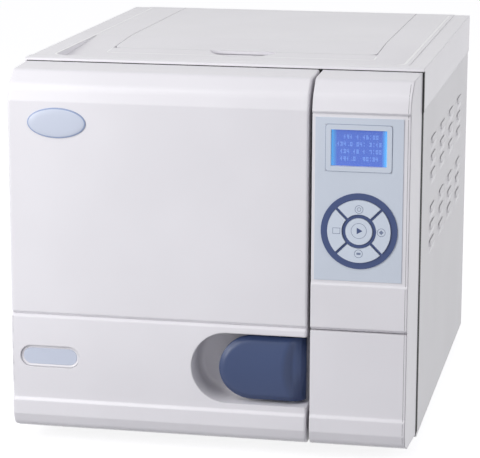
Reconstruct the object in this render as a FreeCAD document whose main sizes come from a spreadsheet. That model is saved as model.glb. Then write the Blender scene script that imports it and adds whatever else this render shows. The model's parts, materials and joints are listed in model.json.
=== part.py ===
import FreeCAD, Part
import math
import os
import re
import Sketcher

from FreeCAD import Vector

# Tabletop steam autoclave with a side-hinged door, a control column and a water tank under the top lid.
# Millimetres. X runs to the right, Y to the back and Z up; the origin is on the table, mid-footprint.
# Each size below is one cell of the document's spreadsheet, and the features are bound to it.

SIZES = {
    # cabinet
    "cabinet_width": 455.0,
    "cabinet_depth": 520.0,
    "cabinet_height": 422.0,
    "foot_height": 12.0,
    "foot_radius": 13.0,
    "foot_inset_side": 52.0,
    "foot_inset_end": 46.0,
    "foot_screw_radius": 3.0,
    "panel_sheet": 1.2,
    "pan_sheet": 1.5,
    "pan_rim": 20.0,
    "bulkhead_sheet": 2.0,
    "panel_inset": 1.0,
    "panel_flange": 4.5,
    "joggle_rise": 30.0,
    "seat_gap": 0.3,
    "running_gap": 0.05,
    "back_recess": 20.0,
    # side louvres
    "louvre_length": 50.0,
    "louvre_rise": 7.0,
    "louvre_proud": 2.4,
    "louvre_slot": 3.0,
    "louvre_draft": 12.0,
    "louvre_first_back": 92.0,
    "louvre_pitch_back": 97.0,
    "louvre_low_level": 205.0,
    "louvre_pitch_up": 20.3,
    "louvre_group_pitch": 81.2,
    # top cover
    "cover_wall": 3.0,
    "cover_skirt": 48.0,
    "cover_edge_round": 3.5,
    "rim_width": 20.0,
    "rim_step": 0.8,
    "slope_start": 214.0,
    "slope_front": 24.0,
    "slope_drop": 9.0,
    "slope_half_width": 200.0,
    "slope_corner_round": 16.0,
    "lid_half_width": 157.0,
    "lid_front": 130.0,
    "lid_back_margin": 4.0,
    "lid_thickness": 4.0,
    "lid_corner_round": 12.0,
    "lid_gap": 0.6,
    "lid_hinge_inset": 5.5,
    "lid_hinge_drop": 7.0,
    "lid_knuckle_radius": 5.0,
    "lid_knuckle_length": 30.0,
    "lid_pin_radius": 2.0,
    "fill_half_width": 138.0,
    "fill_front": 150.0,
    "fill_back": 330.0,
    "scoop_half_width": 40.0,
    "scoop_reach": 34.0,
    "scoop_depth": 5.0,
    # front mouldings, seen from the side
    "front_depth": 77.0,
    "face_setback": 2.0,
    "front_wall": 3.0,
    "front_back_gap": 4.0,
    "front_bottom": 5.0,
    "front_top_drop": 3.5,
    "top_fall": 2.0,
    "nose_back": 22.0,
    "nose_mid_back": 5.0,
    "nose_mid_drop": 18.5,
    "nose_low_drop": 34.5,
    "nose_top_round": 9.0,
    "nose_mid_round": 22.0,
    "seam_level": 141.0,
    "seam_half": 3.0,
    "seam_depth": 3.0,
    "strip_bulge_radius": 900.0,
    "strip_setback": 2.5,
    "ledge_level": 40.0,
    "ledge_rise": 3.5,
    "toe_level": 24.0,
    "toe_mid_level": 11.0,
    "toe_mid_back": 4.5,
    "toe_back": 19.0,
    "toe_round": 9.0,
    # door
    "door_left": -226.0,
    "door_right": 112.0,
    "door_edge_round": 2.5,
    "hinge_inset": 12.5,
    "hinge_forward": 32.0,
    "hinge_low_level": 52.0,
    "hinge_top_drop": 72.0,
    "hinge_plate": 5.0,
    "hinge_plate_width": 14.0,
    "hinge_eye_radius": 8.5,
    "hinge_pin_radius": 4.0,
    "hinge_ear": 5.0,
    "hinge_slot_height": 11.0,
    "hinge_slot_front": 17.0,
    "inner_cover_sheet": 3.0,
    "inner_cover_left": 22.0,
    "inner_cover_margin": 0.4,
    "post_width": 14.0,
    "post_depth": 18.0,
    "post_tab": 60.0,
    "crossbar_height": 46.0,
    "crossbar_depth": 10.0,
    "lid_boss_radius": 26.0,
    "lid_stud_radius": 9.0,
    # handle
    "handle_level": 91.0,
    "recess_left": -18.0,
    "recess_height": 81.0,
    "recess_depth": 39.0,
    "recess_floor_round": 7.0,
    "paddle_left": 13.0,
    "paddle_height": 73.0,
    "paddle_thickness": 12.0,
    "paddle_edge": 4.0,
    "paddle_setback": 0.5,
    "paddle_inset": 3.5,
    "crease_radius": 75.0,
    "crease_left": 85.0,
    "crease_depth": 13.0,
    "crease_run": 22.0,
    "handle_axis_inset": 18.0,
    "handle_axis_back": 23.0,
    "handle_barrel_radius": 14.5,
    "handle_shaft_radius": 4.0,
    "latch_level": 36.0,
    "latch_plate": 4.0,
    "keeper_offset": 18.0,
    "keeper_neck_radius": 4.0,
    "keeper_head_radius": 7.0,
    "keeper_reach": 26.0,
    "keeper_head": 4.0,
    "latch_clearance": 1.2,
    # chamber
    "chamber_offset": -56.0,
    "chamber_level": 200.0,
    "chamber_radius": 124.5,
    "chamber_length": 355.0,
    "chamber_wall": 1.5,
    "dish_depth": 36.0,
    "flange_radius": 142.0,
    "flange_thickness": 10.0,
    "flange_proud": 2.0,
    "gasket_radius": 131.0,
    "gasket_width": 10.0,
    "gasket_height": 8.0,
    "gasket_sink": 5.0,
    "lid_disc_radius": 139.0,
    "lid_disc_thickness": 7.0,
    "lid_dome": 9.0,
    "heater_thickness": 2.5,
    "heater_front": 90.0,
    "heater_length": 150.0,
    "jacket_thickness": 18.0,
    "jacket_front": 30.0,
    "jacket_tail": 35.0,
    "saddle_sheet": 3.0,
    "saddle_half_width": 118.0,
    "saddle_height": 132.0,
    "saddle_front": 70.0,
    "saddle_spacing": 210.0,
    "saddle_foot": 18.0,
    # trays
    "rack_half_width": 95.0,
    "rack_half_height": 80.0,
    "rack_front": 22.0,
    "rack_length": 300.0,
    "rack_sheet": 1.5,
    "rack_rail": 9.0,
    "rack_strip": 14.0,
    "tray_clearance": 1.0,
    "tray_height": 14.0,
    "tray_wall": 1.0,
    "tray_pitch": 48.0,
    "tray_low": -58.0,
    "tray_slot_length": 110.0,
    "tray_slot_width": 5.0,
    "tray_slot_pitch": 34.0,
    # control column
    "column_left": 116.0,
    "column_front_right": 222.5,
    "column_back_right": 226.5,
    "groove_drop": 37.5,
    "groove_half": 2.5,
    "groove_depth": 2.5,
    "label_tail": 17.5,
    "label_recess": 2.0,
    "label_margin": 3.5,
    "label_sheet": 0.8,
    "window_left": 131.0,
    "window_width": 72.0,
    "window_drop": 8.5,
    "window_height": 51.0,
    "window_frame": 5.5,
    "window_lens": 1.2,
    "window_proud": 0.8,
    "keypad_centre": 168.5,
    "keypad_drop": 65.5,
    "keypad_radius": 42.0,
    "keypad_ring": 7.0,
    "keypad_inner_radius": 18.6,
    "keypad_inner_ring": 3.6,
    "keypad_spoke": 2.4,
    "keypad_proud": 1.0,
    "key_gap": 0.35,
    "key_proud": 1.4,
    "key_travel": 0.8,
    "key_stem_radius": 2.5,
    "key_stem_gap": 0.2,
    "board_back": 22.0,
    "board_sheet": 1.6,
    "switch_height": 4.0,
    "switch_size": 7.0,
    "standoff_radius": 3.5,
    "seat_tab": 20.0,
    # water side
    "tank_half_width": 150.0,
    "tank_front": 134.0,
    "tank_wall": 3.0,
    "tank_jacket_gap": 4.0,
    "tank_sump_drop": 52.0,
    "tank_lip": 7.0,
    "tank_divider_offset": 40.0,
    "tank_divider_height": 38.0,
    # machines in the right-hand bay
    "bay_inset": 67.5,
    "pump_middle": 372.0,
    "pump_radius": 36.0,
    "pump_length": 96.0,
    "pump_axis_level": 62.0,
    "pump_rib": 2.5,
    "pump_rib_pitch": 12.0,
    "pump_head_width": 58.0,
    "pump_head_depth": 26.0,
    "pump_head_height": 92.0,
    "generator_middle": 228.0,
    "generator_radius": 42.0,
    "generator_height": 150.0,
    "generator_leg": 22.0,
    "valve_middle": 128.0,
    "valve_block_length": 92.0,
    "valve_block_depth": 26.0,
    "valve_block_level": 60.0,
    "valve_block_height": 22.0,
    "coil_radius": 11.0,
    "coil_height": 34.0,
    "coil_pitch": 29.0,
    "supply_width": 96.0,
    "supply_front": 430.0,
    "supply_depth": 40.0,
    "supply_height": 70.0,
    "supply_rail": 6.0,
    "filter_middle": 58.0,
    "filter_radius": 26.0,
    "filter_height": 54.0,
    "filter_level": 22.0,
    # heat rejection at the back
    "condenser_width": 210.0,
    "condenser_front": 424.0,
    "condenser_depth": 36.0,
    "condenser_level": 48.0,
    "condenser_height": 200.0,
    "condenser_plate": 3.0,
    "fin_pitch": 14.0,
    "fin_sheet": 1.2,
    "tube_height": 3.0,
    "fan_size": 120.0,
    "fan_depth": 25.0,
    "fan_level": 150.0,
    "fan_bore_radius": 57.0,
    "fan_hub_radius": 19.0,
    "fan_corner_round": 6.0,
    "fan_strut": 4.0,
    "fan_blade_gap": 1.5,
    "fan_blade_sheet": 2.0,
    "fan_root_half": 9.0,
    "fan_tip_half": 13.0,
    "fan_tip_radius": 52.0,
    "fan_shaft_radius": 3.0,
    "grille_slot": 5.0,
    "grille_pitch": 11.0,
    # rear connections
    "inlet_offset": 168.0,
    "inlet_level": 70.0,
    "inlet_width": 28.0,
    "inlet_height": 24.0,
    "inlet_depth": 24.0,
    "inlet_plate": 3.0,
    "rocker_rise": 44.0,
    "rocker_width": 13.0,
    "rocker_height": 22.0,
    "rocker_gap": 0.6,
    "rocker_depth": 8.0,
    "rocker_tilt": 8.0,
    "rocker_axle_radius": 1.5,
    "nozzle_offset": 110.0,
    "nozzle_level": 40.0,
    "nozzle_pitch": 32.0,
    "nozzle_radius": 6.0,
    "nozzle_reach": 14.0,
    "relief_valve_radius": 9.0,
    "relief_valve_inset": 9.0,
    "relief_valve_gap": 2.0,
    "relief_valve_height": 34.0,
    # badges
    "oval_offset": -170.0,
    "oval_drop": 58.0,
    "oval_half_width": 33.5,
    "oval_half_height": 17.0,
    "badge_sheet": 1.2,
    "plate_left": -215.5,
    "plate_length": 68.0,
    "plate_height": 24.0,
    "plate_level": 92.5,
}

# Places that follow from the sizes. Each is an expression over the names above, Y from the
# cabinet's front plane and Z from its underside unless a body says otherwise.
PLACES = {
    "cabinet_front": "-(cabinet_depth - front_depth) / 2",
    "half_width": "cabinet_width / 2",
    "panel_face": "half_width - panel_inset",
    "bay_line": "half_width - bay_inset",
    "joggle_step": "cover_wall - panel_inset + seat_gap",
    "skirt_level": "cabinet_height - cover_skirt",
    "back_plane": "cabinet_depth - back_recess",
    "front_face": "-front_depth",
    "flat_face": "-(front_depth - face_setback)",
    "front_back": "-front_back_gap",
    "front_top": "cabinet_height - front_top_drop",
    "hinge_side": "door_left + hinge_inset",
    "hinge_line": "-hinge_forward",
    "hinge_high_level": "cabinet_height - hinge_top_drop",
    "handle_side": "door_right - handle_axis_inset",
    "handle_line": "flat_face + handle_axis_back",
    "recess_floor": "flat_face + recess_depth",
    "vessel_radius": "chamber_radius + chamber_wall",
    "heater_radius": "vessel_radius + seat_gap + heater_thickness",
    "jacket_inner": "heater_radius + seat_gap",
    "jacket_radius": "jacket_inner + jacket_thickness",
    "jacket_length": "chamber_length - jacket_front - jacket_tail",
    "relief_valve_back": "chamber_length - relief_valve_inset",
    "flange_front": "-flange_proud",
    "gasket_back": "flange_front - seat_gap",
    "disc_back": "gasket_back - (gasket_height - gasket_sink)",
    "disc_front": "disc_back - lid_disc_thickness",
    "crossbar_back": "disc_front - lid_dome",
    "crossbar_front": "crossbar_back - crossbar_depth",
    "groove_level": "front_top - groove_drop",
    "label_face": "flat_face + label_recess",
    "label_high": "groove_level - groove_half",
    "label_left": "column_left + label_margin",
    "label_right": "column_front_right - 2 * label_margin",
    "board_front": "label_face + board_back",
    "window_low": "label_high - window_drop - window_height",
    "keypad_level": "window_low - keypad_drop",
    "label_low": "keypad_level - keypad_radius - label_tail",
    "oval_level": "front_top - oval_drop",
    "slope_length": "slope_start - slope_front",
    "tank_length": "relief_valve_back - relief_valve_radius - relief_valve_gap - tank_front",
    "tank_floor": "chamber_level + jacket_radius + tank_jacket_gap",
    "tank_sump": "tank_floor - tank_sump_drop",
    "sump_left": "chamber_offset + jacket_radius + tank_jacket_gap",
    "tank_top": "cabinet_height - lid_seat - cover_wall - seat_gap",
    "lid_back": "cabinet_depth - lid_back_margin",
    "lid_axis_back": "lid_back - lid_hinge_inset",
    "lid_axis_level": "cabinet_height - lid_hinge_drop",
    "lid_seat": "lid_thickness + lid_gap",
    "keeper_side": "handle_side - keeper_offset",
    "rocker_axis": "inlet_plate - rocker_depth / 2",
    "keeper_front": "-keeper_reach",
    "tray_half_width": "rack_half_width - rack_sheet - tray_clearance",
}

DOC = FreeCAD.newDocument("autoclave")
SHEET = DOC.addObject("Spreadsheet::Sheet", "Sizes")
PARTS = []


def fill_sheet():
    """Write each size as a plain number and give its cell the size's name."""
    for row, (name, number) in enumerate(SIZES.items(), start=1):
        SHEET.set("A%d" % row, name)
        SHEET.set("B%d" % row, str(number))
        SHEET.setAlias("B%d" % row, name)
    DOC.recompute()


def bound(text):
    """Turn the names in an expression into cells of the sheet."""
    def swap(match):
        word = match.group(0)
        if word in PLACES:
            return "(" + bound(PLACES[word]) + ")"
        return "Sizes." + word if word in SIZES else word
    return re.sub(r"[a-z][a-z_]*", swap, str(text))


def value(text):
    """Give the number that an expression has now."""
    return float(SHEET.evalExpression(bound(text)))


def bind(thing, prop, text):
    """Tie one property of a feature to the sheet."""
    thing.setExpression(prop, bound(text))


# Helpers for bodies and sketches

def place(thing, right, back, up):
    """Set a sub-part's Placement from the sheet."""
    bind(thing, "Placement.Base.x", right)
    bind(thing, "Placement.Base.y", "cabinet_front + (%s)" % back)
    bind(thing, "Placement.Base.z", "foot_height + (%s)" % up)


def new_body(label, right="0", back="0", up="0"):
    """Start a sub-part; its frame sits that far from the cabinet's front underside, mid-width."""
    body = DOC.addObject("PartDesign::Body", label)
    body.Label = label
    place(body, right, back, up)
    PARTS.append(body)
    return body


def new_sketch(body, role, offset="0"):
    """Start a sketch on an origin plane: XY looks down, XZ is seen from the front, YZ from the right."""
    sketch = body.newObject("Sketcher::SketchObject", body.Label + "_sketch")
    plane = [item for item in body.Origin.OriginFeatures if item.Role == role + "_Plane"][0]
    sketch.AttachmentSupport = [(plane, "")]
    sketch.MapMode = "FlatFace"
    if role == "XZ":
        offset = "-(%s)" % offset
    bind(sketch, "AttachmentOffset.Base.z", offset)
    return sketch


def fix_point(sketch, curve, end, across, up):
    """Hold one end of a curve at a place given by two expressions."""
    origin = (-1, 1)
    for kind, text in (("DistanceX", across), ("DistanceY", up)):
        rule = Sketcher.Constraint(kind, *origin, curve, end, value(text))
        bind(sketch, "Constraints[%d]" % sketch.addConstraint(rule), text)


def arc_through(start, finish, radius):
    """Centre of the short arc from start to finish; a positive radius bulges to the right of travel."""
    chord = finish - start
    half = chord.Length / 2
    lift = math.sqrt(max(radius * radius - half * half, 0.0))
    left = Vector(-chord.y, chord.x, 0).normalize()
    return start + chord * 0.5 + left * (lift if radius > 0 else -lift)


def add_outline(sketch, corners):
    """Draw a closed outline. A corner is (across, up), or (across, up, radius) to leave it on an arc."""
    first = sketch.GeometryCount
    spots = [Vector(value(c[0]), value(c[1]), 0) for c in corners]
    ends = []
    for index, corner in enumerate(corners):
        start = spots[index]
        finish = spots[(index + 1) % len(corners)]
        if len(corner) == 2:
            sketch.addGeometry(Part.LineSegment(start, finish), False)
            ends.append((1, 2))
            continue
        radius = value(corner[2])
        centre = arc_through(start, finish, radius)
        circle = Part.Circle(centre, Vector(0, 0, 1), abs(radius))
        from_angle = math.atan2(start.y - centre.y, start.x - centre.x)
        to_angle = math.atan2(finish.y - centre.y, finish.x - centre.x)
        forward = radius > 0
        if forward:
            arc = Part.ArcOfCircle(circle, from_angle, to_angle)
        else:
            arc = Part.ArcOfCircle(circle, to_angle, from_angle)
        curve = sketch.addGeometry(arc, False)
        ends.append((1, 2) if forward else (2, 1))
        rule = Sketcher.Constraint("Radius", curve, abs(radius))
        bind(sketch, "Constraints[%d]" % sketch.addConstraint(rule), "abs(%s)" % corner[2])
    for index, corner in enumerate(corners):
        after = (index + 1) % len(corners)
        joint = (first + index, ends[index][1], first + after, ends[after][0])
        sketch.addConstraint(Sketcher.Constraint("Coincident", *joint))
        fix_point(sketch, first + index, ends[index][0], corner[0], corner[1])
    return sketch


def add_rectangle(sketch, left, right, low, high):
    """Draw a rectangle between four expressions."""
    return add_outline(sketch, [(left, low), (right, low), (right, high), (left, high)])


def add_circle(sketch, across, up, radius):
    """Draw a circle by its centre and radius."""
    centre = Vector(value(across), value(up), 0)
    curve = sketch.addGeometry(Part.Circle(centre, Vector(0, 0, 1), value(radius)), False)
    rule = Sketcher.Constraint("Radius", curve, value(radius))
    bind(sketch, "Constraints[%d]" % sketch.addConstraint(rule), radius)
    fix_point(sketch, curve, 3, across, up)
    return sketch


def add_slot(sketch, left, right, level, height):
    """Draw a level slot with round ends, left and right being its extreme points."""
    half = "(%s) / 2" % height
    first = "(%s) + %s" % (left, half)
    last = "(%s) - %s" % (right, half)
    low = "(%s) - %s" % (level, half)
    high = "(%s) + %s" % (level, half)
    bulge = half + " * 1.000001"
    return add_outline(sketch, [(first, low), (last, low, bulge), (last, high), (first, high, bulge)])


def finish_feature(body, feature):
    """Make a feature the body's last one and return it."""
    body.Tip = feature
    return feature


def pad(body, sketch, length, backwards=False):
    """Add material along the sketch's normal."""
    feature = body.newObject("PartDesign::Pad", body.Label + "_pad")
    feature.Profile = sketch
    feature.Reversed = backwards
    bind(feature, "Length", length)
    return finish_feature(body, feature)


def pocket(body, sketch, length, forwards=False, taper=None):
    """Take material away, against the sketch's normal unless forwards is set."""
    feature = body.newObject("PartDesign::Pocket", body.Label + "_pocket")
    feature.Profile = sketch
    feature.Reversed = forwards
    bind(feature, "Length", length)
    if taper is not None:
        bind(feature, "TaperAngle", taper)
    return finish_feature(body, feature)


def pad_box(body, left, right, front, back, low, high):
    """Add a block between six expressions."""
    sketch = add_rectangle(new_sketch(body, "XY", low), left, right, front, back)
    return pad(body, sketch, "(%s) - (%s)" % (high, low))


def cut_box(body, left, right, front, back, low, high):
    """Cut a block between six expressions."""
    sketch = add_rectangle(new_sketch(body, "XY", low), left, right, front, back)
    return pocket(body, sketch, "(%s) - (%s)" % (high, low), forwards=True)


def pad_front(body, draw, front, back):
    """Add what draw() puts on a sketch seen from the front, from one depth to another."""
    sketch = new_sketch(body, "XZ", back)
    draw(sketch)
    return pad(body, sketch, "(%s) - (%s)" % (back, front))


def cut_front(body, draw, front, back, taper=None):
    """Cut what draw() puts on a sketch seen from the front, from one depth to another."""
    sketch = new_sketch(body, "XZ", front)
    draw(sketch)
    return pocket(body, sketch, "(%s) - (%s)" % (back, front), taper=taper)


def pad_side(body, corners, left, right):
    """Add a profile seen from the right, between two X places."""
    sketch = add_outline(new_sketch(body, "YZ", left), corners)
    return pad(body, sketch, "(%s) - (%s)" % (right, left))


def cut_side(body, corners, left, right):
    """Cut a profile seen from the right, between two X places."""
    sketch = add_outline(new_sketch(body, "YZ", left), corners)
    return pocket(body, sketch, "(%s) - (%s)" % (right, left), forwards=True)


def pad_disc(body, right, back, low, high, radius):
    """Add an upright cylinder."""
    sketch = add_circle(new_sketch(body, "XY", low), right, back, radius)
    return pad(body, sketch, "(%s) - (%s)" % (high, low))


def cut_disc(body, right, back, low, high, radius):
    """Cut an upright hole."""
    sketch = add_circle(new_sketch(body, "XY", low), right, back, radius)
    return pocket(body, sketch, "(%s) - (%s)" % (high, low), forwards=True)


def turn(body, corners, cut=False):
    """Revolve a profile (radius, along) about the body's Y axis."""
    sketch = add_outline(new_sketch(body, "XY"), corners)
    kind = "PartDesign::Groove" if cut else "PartDesign::Revolution"
    feature = body.newObject(kind, body.Label + "_turned")
    feature.Profile = sketch
    feature.ReferenceAxis = (sketch, ["V_Axis"])
    feature.Angle = 360.0
    return finish_feature(body, feature)


def turn_upright(body, corners):
    """Revolve a profile (radius, up) about the body's Z axis."""
    sketch = add_outline(new_sketch(body, "XZ"), corners)
    feature = body.newObject("PartDesign::Revolution", body.Label + "_turned")
    feature.Profile = sketch
    feature.ReferenceAxis = (sketch, ["V_Axis"])
    feature.Angle = 360.0
    return finish_feature(body, feature)


AXES = {"x": Vector(1, 0, 0), "y": Vector(0, 1, 0), "z": Vector(0, 0, 1)}


def edges_along(feature, axis, spots):
    """Names of straight edges that run along an axis through given places on its cross plane."""
    others = [name for name in "xyz" if name != axis]
    wanted = [(value(a), value(b)) for a, b in spots]
    names = []
    for number, edge in enumerate(feature.Shape.Edges, start=1):
        if len(edge.Vertexes) != 2:
            continue
        start = edge.Vertexes[0].Point
        run = edge.Vertexes[1].Point - start
        if run.Length < 1e-6 or run.normalize().cross(AXES[axis]).Length > 1e-4:
            continue
        here = (getattr(start, others[0]), getattr(start, others[1]))
        if any(abs(here[0] - a) < 0.01 and abs(here[1] - b) < 0.01 for a, b in wanted):
            names.append("Edge%d" % number)
    return names


def round_edges(body, axis, spots, radius):
    """Fillet the edges that run along an axis at the given places."""
    DOC.recompute()
    base = body.Tip
    feature = body.newObject("PartDesign::Fillet", body.Label + "_round")
    feature.Base = (base, edges_along(base, axis, spots))
    bind(feature, "Radius", radius)
    return finish_feature(body, feature)


def bevel_edges(body, names, size):
    """Chamfer named edges of the body's last feature."""
    base = body.Tip
    feature = body.newObject("PartDesign::Chamfer", body.Label + "_bevel")
    feature.Base = (base, names)
    bind(feature, "Size", size)
    return finish_feature(body, feature)


def repeat(body, features, direction, pitch, count, direction_two=None, pitch_two="1", count_two=1):
    """Repeat features at a pitch along one or two axes of the body."""
    feature = body.newObject("PartDesign::LinearPattern", body.Label + "_row")
    feature.Originals = features
    axes = {item.Role: item for item in body.Origin.OriginFeatures}
    feature.Direction = (axes[direction + "_Axis"], [""])
    feature.Mode = "Spacing"
    bind(feature, "Offset", pitch)
    feature.Occurrences = count
    if direction_two:
        feature.Direction2 = (axes[direction_two + "_Axis"], [""])
        feature.Mode2 = "Spacing"
        bind(feature, "Offset2", pitch_two)
        feature.Occurrences2 = count_two
        feature.Spacings2 = [-1.0] * (count_two - 1)
    return finish_feature(body, feature)


# Casing

def make_base_pan():
    """Folded steel tray that carries everything; its floor lies on the cabinet's underside."""
    body = new_body("base_pan")
    side = "panel_face - panel_sheet - seat_gap"
    pad_box(body, "-(%s)" % side, side, "bulkhead_sheet", "back_plane - seat_gap", "0", "pan_rim")
    inner = side + " - pan_sheet"
    cut_box(body, "-(%s)" % inner, inner, "bulkhead_sheet + pan_sheet",
            "back_plane - seat_gap - pan_sheet", "pan_sheet", "pan_rim")
    spots = foot_spots()
    sketch = new_sketch(body, "XY")
    for right, back in spots:
        add_circle(sketch, right, back, "foot_screw_radius + running_gap")
    pocket(body, sketch, "pan_sheet", forwards=True)


def foot_spots():
    """Plan places of the four feet."""
    side = "half_width - foot_inset_side"
    rows = ("foot_inset_end", "back_plane - foot_inset_end")
    return [(sign + "(%s)" % side, row) for row in rows for sign in ("-", "")]


def make_feet():
    """Four moulded rubber feet, each with the stub that locks in the pan's hole."""
    names = ("foot_front_left", "foot_front_right", "foot_rear_left", "foot_rear_right")
    for name, (right, back) in zip(names, foot_spots()):
        body = new_body(name, right, back, "-foot_height")
        radius = "foot_radius"
        turn_upright(body, [("0", "0"), (radius + " - 2", "0"), (radius, "foot_height - 3"),
                            (radius, "foot_height"), ("foot_screw_radius", "foot_height"),
                            ("foot_screw_radius", "foot_height + pan_sheet + 3"),
                            ("0", "foot_height + pan_sheet + 3")])


def make_front_bulkhead():
    """Steel front plate with the chamber's hole, the hinge slits, the latch and wiring windows."""
    body = new_body("front_bulkhead")
    side = "panel_face - panel_sheet - seat_gap"
    pad_box(body, "-(%s)" % side, side, "0", "bulkhead_sheet", "front_bottom",
            "skirt_level - seat_gap")
    slit = "hinge_plate / 2 + seat_gap"

    def draw(sketch):
        add_circle(sketch, "chamber_offset", "chamber_level", "flange_radius + seat_gap")
        for level in ("hinge_low_level", "hinge_high_level"):
            half = "(hinge_plate_width / 2 + seat_gap)"
            add_rectangle(sketch, "hinge_side - " + half, "hinge_side + " + half,
                          level + " - (%s)" % slit, level + " + " + slit)
        add_circle(sketch, "keeper_side", "latch_level", "keeper_neck_radius + running_gap")
        add_rectangle(sketch, "keypad_centre - 32", "keypad_centre + 32",
                      "label_low + 20", "label_low + 150")
        add_rectangle(sketch, "bay_line - filter_radius - 6", "bay_line + filter_radius + 6",
                      "filter_level - 8", "filter_level + filter_height + 18")
    cut_front(body, draw, "-1", "bulkhead_sheet + 1")


def make_side_panel(label, sign):
    """Folded side sheet, joggled in under the cover's skirt, with pressed louvres in two groups."""
    body = new_body(label)
    outer = "panel_face"
    inner = "panel_face - panel_sheet"
    step = " - joggle_step"
    top = "skirt_level - seat_gap"
    flip = "" if sign > 0 else "-"
    outline = [(outer, "0"), (outer, top), (outer + step, top),
               (outer + step, top + " + joggle_rise"), (inner + step, top + " + joggle_rise"),
               (inner + step, top + " - panel_sheet"), (inner, top + " - panel_sheet"), (inner, "0")]
    front = "cover_wall + seat_gap"
    sketch = add_outline(new_sketch(body, "XZ", "cabinet_depth - cover_wall - seat_gap"),
                         [(flip + "(%s)" % across, up) for across, up in outline])
    pad(body, sketch, "cabinet_depth - 2 * (%s)" % front)
    sides = sorted([flip + "(%s)" % inner, flip + "(%s - panel_flange)" % inner], key=value)
    pad_box(body, sides[0], sides[1], front, front + " + panel_sheet", "pan_rim + 2",
            "skirt_level - joggle_step - 2")
    levels = ["louvre_low_level", "louvre_low_level + louvre_group_pitch"]
    made = []
    for level in levels:
        made += add_louvre(body, sign, level)
    repeat(body, made, "Y", "louvre_pitch_back", 4, "Z", "louvre_pitch_up", 3)


def add_louvre(body, sign, level):
    """One pressed louvre: a hood with sloping ends and the slit under it."""
    flip = "" if sign > 0 else "-"
    face = flip + "(panel_face - panel_sheet / 2)"
    front = "louvre_first_back"
    back = "louvre_first_back + louvre_length"
    end = "louvre_proud * 1.6"
    sketch = new_sketch(body, "XY", level + " - louvre_rise / 2")
    far = flip + "(panel_face + louvre_proud)"
    corners = [(face, front), (far, front + " + " + end), (far, back + " - " + end), (face, back)]
    add_outline(sketch, corners)
    hood = body.newObject("PartDesign::Pad", body.Label + "_hood")
    hood.Profile = sketch
    bind(hood, "Length", "louvre_rise")
    bind(hood, "TaperAngle", "-louvre_draft")
    finish_feature(body, hood)
    cut = new_sketch(body, "XY", level + " - louvre_rise / 2 - 1")
    near = flip + "(panel_face - panel_sheet - 1)"
    lip = flip + "(panel_face + louvre_proud - panel_sheet)"
    add_outline(cut, [(near, front + " + 2 * panel_sheet"), (lip, front + " + %s + panel_sheet" % end),
                      (lip, back + " - %s - panel_sheet" % end), (near, back + " - 2 * panel_sheet")])
    slit = body.newObject("PartDesign::Pocket", body.Label + "_slit")
    slit.Profile = cut
    slit.Reversed = True
    bind(slit, "Length", "louvre_slot + 1")
    finish_feature(body, slit)
    return [hood, slit]


def make_back_panel():
    """Rear sheet, set in from the cabinet's back edge, with the fan grille and the rear fittings' holes."""
    body = new_body("back_panel")
    side = "panel_face - panel_sheet - seat_gap"
    pad_box(body, "-(%s)" % side, side, "back_plane", "back_plane + pan_sheet", "0",
            "skirt_level - seat_gap - panel_sheet - 1")

    def draw(sketch):
        half_in = "inlet_width / 2 + seat_gap"
        add_rectangle(sketch, "inlet_offset - (%s)" % half_in, "inlet_offset + " + half_in,
                      "inlet_level - inlet_height / 2 - seat_gap",
                      "inlet_level + inlet_height / 2 + seat_gap")
        add_rectangle(sketch, "inlet_offset - rocker_width / 2 - 3", "inlet_offset + rocker_width / 2 + 3",
                      "inlet_level + rocker_rise - rocker_height / 2 - 3",
                      "inlet_level + rocker_rise + rocker_height / 2 + 3")
        for place_up in ("nozzle_level", "nozzle_level + nozzle_pitch"):
            add_circle(sketch, "nozzle_offset", place_up, "nozzle_radius + running_gap")
    cut_front(body, draw, "back_plane - 1", "back_plane + pan_sheet + 1")
    slot = new_sketch(body, "XZ", "back_plane - 1")
    add_slot(slot, "chamber_offset - fan_bore_radius + 6", "chamber_offset - 5",
             "fan_level - 4 * grille_pitch", "grille_slot")
    add_slot(slot, "chamber_offset + 5", "chamber_offset + fan_bore_radius - 6",
             "fan_level - 4 * grille_pitch", "grille_slot")
    grille = pocket(body, slot, "pan_sheet + 2")
    repeat(body, [grille], "Z", "grille_pitch", 9)


def slope_height(back):
    """Level of the cover's sloping front part at a Y place."""
    share = "(slope_start - (%s)) / (slope_length)" % back
    return "(cabinet_height - slope_drop * %s)" % share


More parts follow.
